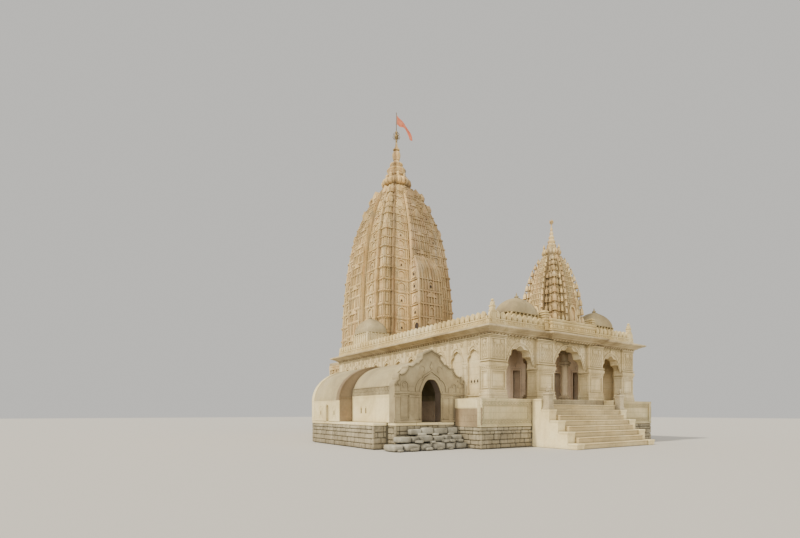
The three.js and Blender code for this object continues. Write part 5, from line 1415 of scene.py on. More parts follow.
def build_kiosks():
    for nm, xc, yc, a, b, zt, rise, over in (("front_left", -3.9, -8.45, 1.2, .64, 7.95, 1.02, .15), ("front_right", 3.9, -8.45, 1.2, .64, 7.95, 1.02, .15),
                                            ("rear_left", -5.53, 6.60, 1.05, 1.30, 8.70, 1.30, .06), ("rear_right", 5.53, 6.60, 1.05, 1.30, 8.70, 1.30, .06)):
        m = M(f"kiosk_{nm}_drum")
        m.box(WORLD, xc - a + 0.04, xc + a - 0.04, -yc - b + 0.04, -yc + b - 0.04, 7.02, zt)
        m.box(WORLD, xc - a, xc + a, -yc - b, -yc + b, 7.02, 7.12, c=0.01); m.box(WORLD, xc - a, xc + a, -yc - b, -yc + b, zt - 0.16, zt - 0.1, c=0.01)
        for q in range(4):
            o = {0: (xc, yc - b, 0), 1: (xc + a, yc, 0), 2: (xc, yc + b, 0), 3: (xc - a, yc, 0)}[q]
            fr = wall(o, q); L = a if q in (0, 2) else b - 0.062
            n = max(3, int(round(2 * L / 0.34)))
            for i in range(n + 1):
                u = -L + 0.05 + (2 * L - 0.1) * i / n
                m.box(fr, u - 0.05, u + 0.05, -0.06, -0.0, 7.1, zt - 0.14)
                if i < n:
                    uc = u + (2 * L - 0.1) / n / 2
                    hw = (2 * L - 0.1) / n / 2 - 0.05
                    m.ring(fr, pointed(uc, hw * 0.8, zt - 0.36, zt - 0.22, 6), pointed(uc, hw, zt - 0.3, zt - 0.15, 6), -0.06, -0.01)
                # bracket under the drip edge
                P = [(0.0, zt - 0.26), (0.0, zt - 0.02), (over * 0.8, zt - 0.02), (over * 0.75, zt - 0.06), (0.03, zt - 0.2)]
                m.run(fr, P, u - 0.035, u + 0.035)
        m.make(MAT["merlon"], (), "vault_plaster")
        d = M(f"kiosk_{nm}_dome")
        A, B = a + over, b + over
        hs = [(-0.03, .93), (-0.03, 0.985), (0.0, 1.0), (0.035, 1.0), (0.05, 0.985), (0.09, 0.985), (.16, 0.982), (.22, .972), (.28, .957), (.36, .93), (.44, .893), (.52, .848), (.6, .795), (.67, .735), (.73, .67), (.79, .595), (.84, .52), (.88, .45), (.92, .37), (.95, .29), (.97, .22), (.985, .14), (1.0, .07)]
        n = 96
        t = (np.arange(n) + 0.5) / n * 2 * math.pi
        rows = []
        for h, k in hs:
            e = 2 / (5 - 2.6 * max(h, 0))
            c, s = np.cos(t), np.sin(t)
            rows.append(np.stack([xc + A * k * np.sign(c) * np.abs(c) ** e, yc + B * k * np.sign(s) * np.abs(s) ** e, np.full(n, zt + h * rise)], 1))
        d.grid(np.array(rows), closed_u=True)
        z = zt + rise
        d.lathe(xc, yc, [(0.22, z - 0.08), (0.24, z - 0.03), (0.2, z), (0.11, z + 0.02), (0.1, z + 0.05), (0.14, z + 0.08), (0.13, z + 0.12), (0.06, z + 0.16), (0.035, z + 0.2), (0.055, z + 0.23), (0.03, z + 0.27), (0.012, z + 0.36)], 20)
        d.make(MAT["dome"], (f"kiosk_{nm}",), "vault_plaster", smooth=True)


build_kiosks()


def build_roof():
    m = M("roof_slab_paving")
    m.box(WORLD, -7.12, 7.12, -9.42, 9.42, 6.76, 6.98)
    m.box(WORLD, -AH + 0.02, AH - 0.02, 9.42, 9.72, 6.76, 6.98)
    m.box(WORLD, -4.96, 4.96, -16.01, -9.42, 6.765, 6.975)
    # rounded edge courses round the sanctum
    for q, o, L in ((2, (0, 16.05, 0), 4.8), (3, (-5.0, 12.75, 0), 3.3), (1, (5.0, 12.75, 0), 3.3)):
        fr = wall(o, q)
        m.box(fr, -L, L, -0.2, 0.0, 6.76, 6.83, c=0.01); m.box(fr, -L, L, -0.2, -0.02, 6.84, 6.94, c=0.01); m.box(fr, -L, L, -0.2, 0.0, 6.94, 7.02, c=0.01)
    s = 0.72
    for x0, x1, y0, y1 in ((-6.8, 6.8, -9.1, 6.0), (-6.8, -5.1, 6.0, 9.1), (5.1, 6.8, 6.0, 9.1)):
        nx, ny = int((x1 - x0) / s), int((y1 - y0) / s)
        ax, ay = (x1 - x0) / nx, (y1 - y0) / ny
        for i in range(nx):
            for j in range(ny):
                x, y = x0 + ax * i, y0 + ay * j
                if -1.6 < x + ax / 2 < 1.6 and y + ay / 2 < -6.3:
                    continue
                z = 7.005 + rng.uniform(0, 0.014)
                m.box(WORLD, x + 0.012, x + ax - 0.012, -y - ay + 0.012, -y - 0.012, 6.97, z)
    m.make(MAT["roof"], ("roof_slab",), "roof_plaster")


build_roof()


# ------------------------------------------------------------------ plinth, steps, side chambers and flag
def rubble(m, fr, u0, u1, z0, z1, w=0.0, depth=0.16, l0=0.5, h0=0.25, skip=None):
    """Rough stones of many sizes in uneven courses."""
    z = z0
    while z < z1 - 0.02:
        h = h0 * rng.uniform(0.72, 1.35)
        if z1 - z < h + 0.12:
            h = z1 - z
        u = u0
        while u < u1 - 0.02:
            l = l0 * rng.uniform(0.55, 1.6)
            if u1 - u < l + 0.15:
                l = u1 - u
            if not (skip and skip[0] < u + l / 2 < skip[1]):
                o = rng.uniform(0.0, 0.045)
                m.box(fr, u + 0.012, u + l - 0.01, w - depth, w - o, z + 0.012, z + h - 0.008, c=0.04)
            u += l
        z += h


def boulder(m, cx, cy, cz, rx, ry, rz, n=16, k=9, p=0.42, rough=0.05):
    """A rough block with rounded edges."""
    f = lambda v: np.sign(v) * np.abs(v) ** p
    a = np.arange(n) / n * 2 * math.pi; b = np.linspace(-math.pi / 2, math.pi / 2, k)
    A, B = np.meshgrid(a, b)
    g = 1 + rng.uniform(-rough, 0, A.shape)
    x, y, z = f(np.cos(B)) * f(np.cos(A)) * g, f(np.cos(B)) * f(np.sin(A)) * g, f(np.sin(B)) * (1 + rng.uniform(-rough, 0, A.shape))
    x[0], y[0], x[-1], y[-1] = 0, 0, 0, 0; z[0], z[-1] = -1, 1
    m.grid(np.stack([cx + rx * x, cy + ry * y, cz + rz * z], -1), closed_u=True)


def edge_slabs(m, fr, u0, u1, w, z0, z1, deep, l0=1.3, c=0.015, wob=0.006):
    """A course of long slabs with open joints."""
    n = max(1, round((u1 - u0) / l0))
    cuts = [u0] + [u0 + (u1 - u0) * (i + rng.uniform(-0.2, 0.2)) / n for i in range(1, n)] + [u1]
    for a, b in zip(cuts[:-1], cuts[1:]):
        m.box(fr, a + (0.005 if a > u0 else 0), b - (0.005 if b < u1 else 0), w - deep, w - rng.uniform(0, wob), z0, z1 - rng.uniform(0, wob * 0.6), c=c)


def carved_band(m, fr, u0, u1, z0, z1, w, cell=0.25):
    """A border with fillets on both edges and a run of lozenges between half leaves."""
    flat = (u1 - u0) >= (z1 - z0)
    L, W = (u1 - u0, z1 - z0) if flat else (z1 - z0, u1 - u0)
    q = (lambda s, t: (u0 + s, z0 + t)) if flat else (lambda s, t: (u0 + t, z0 + s))
    t = 0.03
    for a, b in ((0, t), (W - t, W)):
        p0, p1 = q(0, a), q(L, b)
        m.box(fr, p0[0], p1[0], w - 0.05, w, p0[1], p1[1])
    n = max(1, round(L / cell)); c = L / n; hh = W / 2 - t - 0.012
    for i in range(n):
        s = c * (i + 0.5)
        m.prism(fr, [q(s - c * .3, W / 2), q(s, W / 2 - hh * .8), q(s + c * .3, W / 2), q(s, W / 2 + hh * .8)], w - 0.05, w - 0.004, back=False)
        m.prism(fr, [q(s - c * .12, W / 2), q(s, W / 2 - hh * .3), q(s + c * .12, W / 2), q(s, W / 2 + hh * .3)], w - 0.01, w + 0.008, back=False)
        for d in (-1, 1):
            for v in (-1, 1):
                m.prism(fr, [q(s + d * c * .47, W / 2 + v * hh), q(s + d * c * .47, W / 2 + v * hh * .2), q(s + d * c * .3, W / 2 + v * hh * .5), q(s + d * c * .14, W / 2 + v * hh)], w - 0.05, w - 0.012, back=False)


def plinth_face(m, r, o, q, u0, u1, spans, e=0.0, step=4.9, skip=None):
    fr = wall(o, q)
    rubble(r, fr, u0, u1, 0.0, 1.2, skip=skip)
    for a, b in spans:
        edge_slabs(m, fr, a, b, -e, 2.70, 2.8 - e, 0.42)
        m.box(fr, a, b, -0.3, -0.025 - e, 2.655, 2.70)
        edge_slabs(m, fr, a, b, -0.004 - e, 1.2, 1.31, 0.3)
        m.box(fr, a, b, -0.3, -0.035 - e, 1.31, 1.35)
        m.box(fr, a, b, -0.3, -0.062 - e, 1.35, 1.60); m.box(fr, a, b, -0.3, -0.062 - e, 2.40, 2.655)
        carved_band(m, fr, a + 0.002, b - 0.002, 1.35, 1.60, -0.03 - e)
        carved_band(m, fr, a + 0.002, b - 0.002, 2.40, 2.655, -0.03 - e)
        n = max(1, round((b - a) / step))
        for i in range(n + 1):
            c = a + (b - a) * i / n
            c0 = min(max(c - 0.13, a), b - 0.26)
            m.box(fr, c0, c0 + 0.26, -0.3, -0.062 - e, 1.60, 2.40)
            carved_band(m, fr, c0, c0 + 0.26, 1.60, 2.40, -0.03 - e)
            if i:
                k = [x for x in (cp + 0.26, c0)]
                m.box(fr, k[0], k[1], -0.3, -0.085 - e, 1.60, 2.40)
                frame_rect(m, fr, k[0], k[1], 1.6, 2.4, -0.1, -0.06 - e, 0.03)
            cp = c0


def paving(m, x0, x1, y0, y1, z, s=0.95):
    nx, ny = max(1, round((x1 - x0) / s)), max(1, round((y1 - y0) / s))
    ax, ay = (x1 - x0) / nx, (y1 - y0) / ny
    for i in range(nx):
        for j in range(ny):
            x, y = x0 + ax * i, y0 + ay * j
            m.box(WORLD, x + 0.006, x + ax - 0.006, -y - ay + 0.006, -y - 0.006, z - 0.08, z - rng.uniform(0, 0.008))


def build_plinth():
    m, r, f = M("plinth_border"), M("plinth_rough_stone"), M("plinth_paving")
    for (x0, x1, y0, y1) in ((-7.03, 9.03, -9.53, 9.63), (-7.83, -6.9, -9.53, -7.57), (-5.23, 5.23, 9.5, 16.28)):
        r.box(WORLD, x0, x1, -y1, -y0, 0.0, 2.72)
    plinth_face(m, r, (0, -9.65, 0), 0, -7.95, 9.15, ((-7.95, -3.885), (3.885, 9.15)), step=9, skip=(-3.6, 3.6))
    plinth_face(m, r, (9.15, 0, 0), 1, -9.65, 9.75, ((-9.65, 9.75),), e=0.003)
    plinth_face(m, r, (0, 9.75, 0), 2, -9.15, -5.35, ((-9.15, -5.36),), e=0.001)
    plinth_face(m, r, (0, 9.75, 0), 2, 5.35, 7.15, ((5.36, 7.15),), e=0.001)
    plinth_face(m, r, (5.35, 0, 0), 1, 9.75, 16.4, ((9.76, 16.4),), e=0.002)
    plinth_face(m, r, (-5.35, 0, 0), 3, -16.4, -9.75, ((-16.4, -9.76),), e=0.002)
    plinth_face(m, r, (0, 16.4, 0), 2, -5.35, 5.35, ((-5.35, 5.35),), e=0.004)
    plinth_face(m, r, (-7.15, 0, 0), 3, -9.75, -1.65, ((-9.75, -1.66),), e=0.003)
    m.make(MAT["plinth"], ("plinth",), "plinth_stone")
    # the near end: brown stone below a whitewashed patch with a straight edge at 2.28 m; the brown is the portal's
    # shadow painted on, the patch its sunlit part
    b, w = M("plinth_end_painted_shadow_blocks"), M("plinth_end_painted_sunlit_patch")
    fr = wall((-7.95, 0, 0), 3)
    rubble(r, fr, 7.45, 9.65, 0.0, 1.2)
    for i, (z0, z1) in enumerate(((1.2, 1.5), (1.5, 1.86), (1.86, 2.28))):
        n = 3 if i % 2 else 2
        cuts = [7.46] + [7.46 + 2.185 * (k + (0.12 if i == 1 else -0.06)) / n for k in range(1, n)] + [9.645]
        for a, c in zip(cuts[:-1], cuts[1:]):
            b.box(fr, a + 0.004, c - 0.004, -0.1, -0.02 - rng.uniform(0, 0.008), z0 + 0.004, z1 - 0.004)
    w.box(fr, 7.46, 9.646, -0.1, -0.004, 2.28, 2.797)
    w.box(fr, 7.5, 9.60, -0.1, -0.02, 2.24, 2.29)
    b.box(fr, 7.46, 9.50, -0.8, -0.08, 1.2, 2.79)
    b.make(MAT["painted_shade_brown"], (), "plinth_stone"); w.make(MAT["chamber"], (), "plinth_stone")
    r.make(MAT["rubble"], (), "plinth_stone")
    paving(f, -6.73, 8.73, -9.23, 9.33, 2.797)
    edge_slabs(f, WORLD, -3.88, 3.88, 9.648, 2.70, 2.798, 0.42); f.box(WORLD, -3.88, 3.88, 9.5, 9.63, 2.3, 2.71)
    paving(f, -4.93, 4.93, 9.33, 15.98, 2.797)
    f.make(MAT["floor"], (), "plinth_stone")


def blob(m, x, y, z, rx, ry, rz, n=12):
    boulder(m, x, y, z, rx, ry, rz, n, 8, 1.0, 0.0)


def lion(m, x, y, z):
    """A small generic seated lion that looks towards the steps' foot."""
    m.box(WORLD, x - .115, x + .115, -y - .185, -y + .185, z, z + 0.035, c=0.008)
    z += 0.035
    blob(m, x, y + 0.06, z + 0.12, 0.08, 0.12, 0.115)           # haunches
    blob(m, x, y - 0.04, z + 0.17, 0.07, 0.085, 0.12)           # chest
    for s in (-1, 1):
        m.box(WORLD, x + s * 0.045 - 0.022, x + s * 0.045 + 0.022, -y + 0.06, -y + 0.11, z, z + 0.15, c=0.008)
        blob(m, x + s * 0.045, y - 0.125, z + 0.022, 0.026, 0.045, 0.022, 8)
        blob(m, x + s * 0.075, y + 0.05, z + 0.05, 0.03, 0.085, 0.05, 8)
        blob(m, x + s * 0.055, y - 0.07, z + 0.325, 0.02, 0.015, 0.025, 8)
    blob(m, x, y - 0.07, z + 0.255, 0.09, 0.07, 0.09)           # mane
    blob(m, x, y - 0.105, z + 0.27, 0.058, 0.055, 0.06)         # head
    blob(m, x, y - 0.15, z + 0.255, 0.034, 0.03, 0.028, 8)      # muzzle
    for i in range(7):                                          # tail curled over the back
        t = i / 6 * 3.6
        blob(m, x + 0.02, y + 0.15 - 0.05 * math.sin(t) * 0.6, z + 0.08 + 0.05 * i / 6 * 4.2, 0.017, 0.017, 0.024, 6)


def build_steps():
    m = M("steps_stone")
    rise, run, X = 0.3111, 0.31, 3.195
    for k in range(1, 9):
        z = 2.8 - rise * k - 0.001
        wf = 10.523 + run * (k - 1)
        wb = 9.655 if k == 1 else wf - run - 0.05
        m.box(WORLD, -X + 0.02, X - 0.02, wb, wf - 0.07, max(z - 0.8, 0.0), z - 0.03)
        if k == 1:
            edge_slabs(m, WORLD, -X, X, 10.06, z - 0.09, z, 0.405, 1.6, 0.01)
        edge_slabs(m, WORLD, -X, X, wf, z - 0.08, z, (0.455 if k == 1 else wf - wb), 1.3, 0.016, 0.02)
        edge_slabs(m, WORLD, -X, X, wf - 0.055, max(z - rise, 0.0), z - 0.08, 0.3, 1.5, 0.008, 0.012)
    m.make(MAT["steps"], ("steps",), "step_stone")
    segs = [(9.656, 10.313, 2.8), (10.313, 10.903, 2.178), (10.903, 11.503, 1.556), (11.503, 12.133, .933), (12.133, 12.74, .311)]
    for s, nm in ((-1, "left"), (1, "right")):
        c = M(f"step_wall_{nm}_stone")
        x0, x1 = sorted((s * 3.203, s * 3.88))
        for i, (a, b, top) in enumerate(segs):
            top -= 0.001
            low = segs[i + 1][2] if i < 4 else 0.0
            c.box(WORLD, x0 + 0.025, x1 - 0.025, a - (0.03 if i else 0), b - 0.035, 0.0, top - 0.08)
            c.box(WORLD, x0, x1, a, b, top - 0.09, top, c=0.016)
            c.box(WORLD, x0 + 0.012, x1 - 0.012, a, b - 0.018, top - 0.12, top - 0.09)
            if i < 4:
                frame_rect(c, WORLD, x0 + 0.08, x1 - 0.08, low + 0.07, top - 0.16, b - 0.05, b - 0.02, 0.04)
        c.make(MAT["cheek"], (f"step_wall_{nm}",), "step_stone")
        p = M(f"step_post_{nm}_carved")
        x, y = s * 3.54, -10.558
        for (h, v, z0, z1, ch) in ((0.25, 0.235, 2.182, 2.28, .012), (0.225, 0.21, 2.28, 2.36, .006), (0.21, 0.195, 2.36, 2.98, .006), (0.225, 0.21, 2.98, 3.02, .005), (0.25, 0.235, 3.04, 3.15, .012), (0.2, 0.19, 3.01, 3.05, .004)):
            p.box(WORLD, x - h, x + h, -y - v, -y + v, z0, z1, c=ch)
        for q, oo in ((0, (x, y - 0.195, 0)), (3, (x - 0.21, y, 0)), (1, (x + 0.21, y, 0))):
            fq = wall(oo, q)
            frame_rect(p, fq, -0.15, 0.15, 2.46, 2.9, -0.02, 0.012, 0.03)
            leaf(p, fq, 0, 2.54, 0.06, 0.28, -0.02, 0.01)
        lion(p, x, y, 3.15)
        p.make(MAT["statue"], (f"step_post_{nm}",), "carved_stone", smooth=True)


build_plinth()
build_steps()


XL, XR, MID = -12.08, -7.153, -9.6165        # the portal and its door


def ellipse(xc, a, h, z, n=40):
    return [(xc + a * math.cos(math.pi * i / n), z + h * math.sin(math.pi * i / n)) for i in range(n + 1)]


def build_portal():
    m = M("portal_gable_carved")
    prof = [(2.465, 3.55), (2.43, 3.66), (2.34, 3.74), (2.25, 3.80), (2.27, 3.92), (2.26, 4.04), (2.2, 4.13), (2.12, 4.07), (2.05, 4.09), (1.93, 4.13), (1.8, 4.22), (1.72, 4.33), (1.64, 4.42),
            (1.655, 4.52), (1.6, 4.59), (1.5, 4.585), (1.4, 4.56), (1.29, 4.60), (1.175, 4.70), (1.08, 4.765), (.97, 4.76), (.9, 4.77), (.87, 4.85), (.8, 4.92), (.72, 4.98), (.64, 5.05), (.635, 5.2), (.59, 5.31),
            (.49, 5.34), (.4, 5.395), (.25, 5.44), (.12, 5.50), (0, 5.565)]
    left = [(MID - o, z) for o, z in prof]
    right = [(min(MID + o, XR - 0.002 * i), z) for i, (o, z) in enumerate(prof[:-1])][::-1]
    top = left + right
    arch = pointed(MID, 0.69, 3.1, 3.87, 18)
    arch[0], arch[-1] = (MID - 0.69, 3.1), (MID + 0.69, 3.1)
    poly = [(XL, 1.45)] + top + [(XR, 1.45), (MID + 0.69, 1.45)] + arch[::-1] + [(MID - 0.69, 1.45)]
    m.prism(WORLD, poly, 6.86, 7.385)
    ins = lambda pts, k, dz=0.0: [(MID + (u - MID) * k, 3.1 + (z - 3.1) * k + dz) for u, z in pts]
    m.ring(WORLD, ins(top, 0.965), top, 7.37, 7.44)
    m.ring(WORLD, ins(top, 0.925), ins(top, 0.94), 7.37, 7.41)
    # mouldings round the door
    a0 = [(MID - 0.69, 1.62)] + arch + [(MID + 0.69, 1.62)]
    a1 = [(MID - 0.80, 1.62)] + pointed(MID, 0.80, 3.1, 4.02, 18) + [(MID + 0.80, 1.62)]
    a2 = [(MID - 0.86, 1.62)] + pointed(MID, 0.86, 3.1, 4.10, 18) + [(MID + 0.86, 1.62)]
    m.ring(WORLD, a0, a1, 7.36, 7.41); m.ring(WORLD, a1, a2, 7.37, 7.435)
    og = [(1.09, 3.16), (1.09, 3.35), (1.05, 3.5), (.99, 3.63), (.90, 3.75), (.81, 3.84), (.70, 3.89), (.62, 3.91), (.60, 3.99), (.53, 4.06), (.42, 4.11), (.30, 4.18), (.18, 4.25), (.08, 4.31), (0, 4.37)]
    full = [(-a, z) for a, z in og] + [(a, z) for a, z in og[:-1]][::-1]
    outer = [(MID + u, z) for u, z in full]
    inner = [(MID + u * 0.945, 3.16 + (z - 3.16) * 0.95) for u, z in full]
    m.ring(WORLD, inner, outer, 7.37, 7.445)
    # pilasters, bases and the band at the springing
    strips = ((XL, -11.73), (-11.15, -10.79), (-8.36, -8.06), (-7.5, XR))
    for a, b in strips:
        m.box(WORLD, a, b, 7.3, 7.43, 1.45, 2.98)
        m.box(WORLD, a + 0.06, b - 0.06, 7.42, 7.445, 1.9, 2.8)
        m.box(WORLD, a, b, 7.3, 7.42, 3.14, 3.42)
    for a, b in ((-10.79, MID - 0.70), (MID + 0.70, -8.36)):
        m.box(WORLD, a, b, 7.3, 7.405, 1.45, 3.0)
    for a, b in ((XL, MID - 0.695), (MID + 0.695, XR)):
        m.box(WORLD, a, b, 7.3, 7.448, 1.45, 1.58, c=0.012)
        m.box(WORLD, a, b, 7.3, 7.435, 1.61, 1.67, c=0.01)
        m.box(WORLD, a, b, 7.3, 7.43, 2.96, 3.01); m.box(WORLD, a, b, 7.3, 7.447, 3.03, 3.10, c=0.01); m.box(WORLD, a, b, 7.3, 7.42, 3.10, 3.15)
    for a, b in strips + ((-10.79, MID - 0.70), (MID + 0.70, -8.36)):
        m.box(WORLD, a, b, 7.3, 7.446, 2.84, 2.93, c=0.01)
    # sunk panels between the pilasters
    for a, b in ((-11.73, -11.15), (-8.06, -7.5)):
        frame_rect(m, WORLD, a + 0.04, b - 0.04, 1.74, 2.84, 7.36, 7.405, 0.035)
    # small round-headed niches over the band
    for uc, hw in ((-11.44, 0.27), (-7.98, 0.20), (-11.9, 0.11)):
        arc = [(uc + hw * math.cos(t), 3.5 + hw * 0.9 * math.sin(t)) for t in np.linspace(math.pi, 0, 13)]
        arc = [(uc - hw, 3.2)] + arc + [(uc + hw, 3.2)]
        m.ring(WORLD, [(uc + (u - uc) * 0.82, 3.2 + (z - 3.2) * 0.93) for u, z in arc], arc, 7.37, 7.425)
        curl(m, WORLD, uc, 3.5, hw * 0.5, 0.4, 4.6, 7.37, 7.41, hw * 0.16, 10)
    for (u, z, r_) in ((-7.62, 3.5, .09), (-7.42, 3.72, .07), (-7.66, 3.84, .06), (-7.38, 3.4, .05)):
        rosette(m, WORLD, u, z, 7.385, r_, 6, 0.03)
    for s in (-1, 1):
        curl(m, WORLD, MID + s * 0.62, 4.42, 0.2, 0.3 if s > 0 else -1.2, 4.2 if s > 0 else 2.84, 7.37, 7.415, 0.04, 14)
    leaf(m, WORLD, MID, 4.45, 0.1, 0.42, 7.37, 7.43)
    # the portal takes the grey-brown portal plaster: partly painted shade on its shaded front
    m.make(MAT["portal"], ("portal_gable", "portal_pier_outer", "portal_pier_inner"), "portal_plaster")
    # the door's reveal lined with the dark plaster: painted shade in the jamb and under the arch
    k = M("portal_reveal_plaster")
    k.ring(WORLD, [(MID - 0.672, 1.46)] + pointed(MID, 0.672, 3.1, 3.845, 18) + [(MID + 0.672, 1.46)], [(MID - 0.695, 1.46)] + pointed(MID, 0.695, 3.1, 3.88, 18) + [(MID + 0.695, 1.46)], 6.87, 7.35)
    k.make(MAT["reveal"], (), "portal_plaster")


def holed(m, fr, u0, u1, z0, z1, w0, w1, holes, n=10):
    """A wall with round-headed openings, each (centre, half width, sill, springing)."""
    u = u0
    for uc, h, a, b in sorted(holes):
        m.box(fr, u, uc - h, w0, w1, z0, z1)
        if a > z0 + 0.01:
            m.box(fr, uc - h, uc + h, w0, w1, z0, a)
        arc = [(uc - h * math.cos(math.pi * i / n), b + h * math.sin(math.pi * i / n)) for i in range(n + 1)]
        m.ring(fr, arc, [(uc - h + 2 * h * i / n, z1) for i in range(n + 1)], w0, w1)
        u = uc + h
    m.box(fr, u, u1, w0, w1, z0, z1)


def vault(m, xc, a, h, z, y0, y1, t=0.3, rows=26, n=44):
    """A barrel of hand-laid plaster: outer face, inner face and both ends."""
    for k, (aa, hh) in enumerate(((a, h), (a - t, h - t))):
        P = np.array([[[xc + aa * math.cos(math.pi * j / n), y0 + (y1 - y0) * i / rows, z + hh * math.sin(math.pi * j / n)] for j in range(n + 1)] for i in range(rows + 1)])
        if k == 0:
            nz = rng.uniform(-0.03, 0.0, (rows // 4 + 3, n // 4 + 3))
            for i in range(rows + 1):
                for j in range(n + 1):
                    p, q = i / 4, j / 4; a_, b_ = int(p), int(q); f, g = p - a_, q - b_
                    d = (nz[a_, b_] * (1 - f) + nz[a_ + 1, b_] * f) * (1 - g) + (nz[a_, b_ + 1] * (1 - f) + nz[a_ + 1, b_ + 1] * f) * g
                    P[i, j, 0] += d * math.cos(math.pi * j / n); P[i, j, 2] += d * math.sin(math.pi * j / n)
        m.grid(P, flip=bool(k))
    for y in (y0 + 0.002, y1 - 0.002):
        m.ring(WORLD, ellipse(xc, a - t, h - t, z, n), ellipse(xc, a - 0.03, h - 0.03, z, n), -y - 0.004, -y)


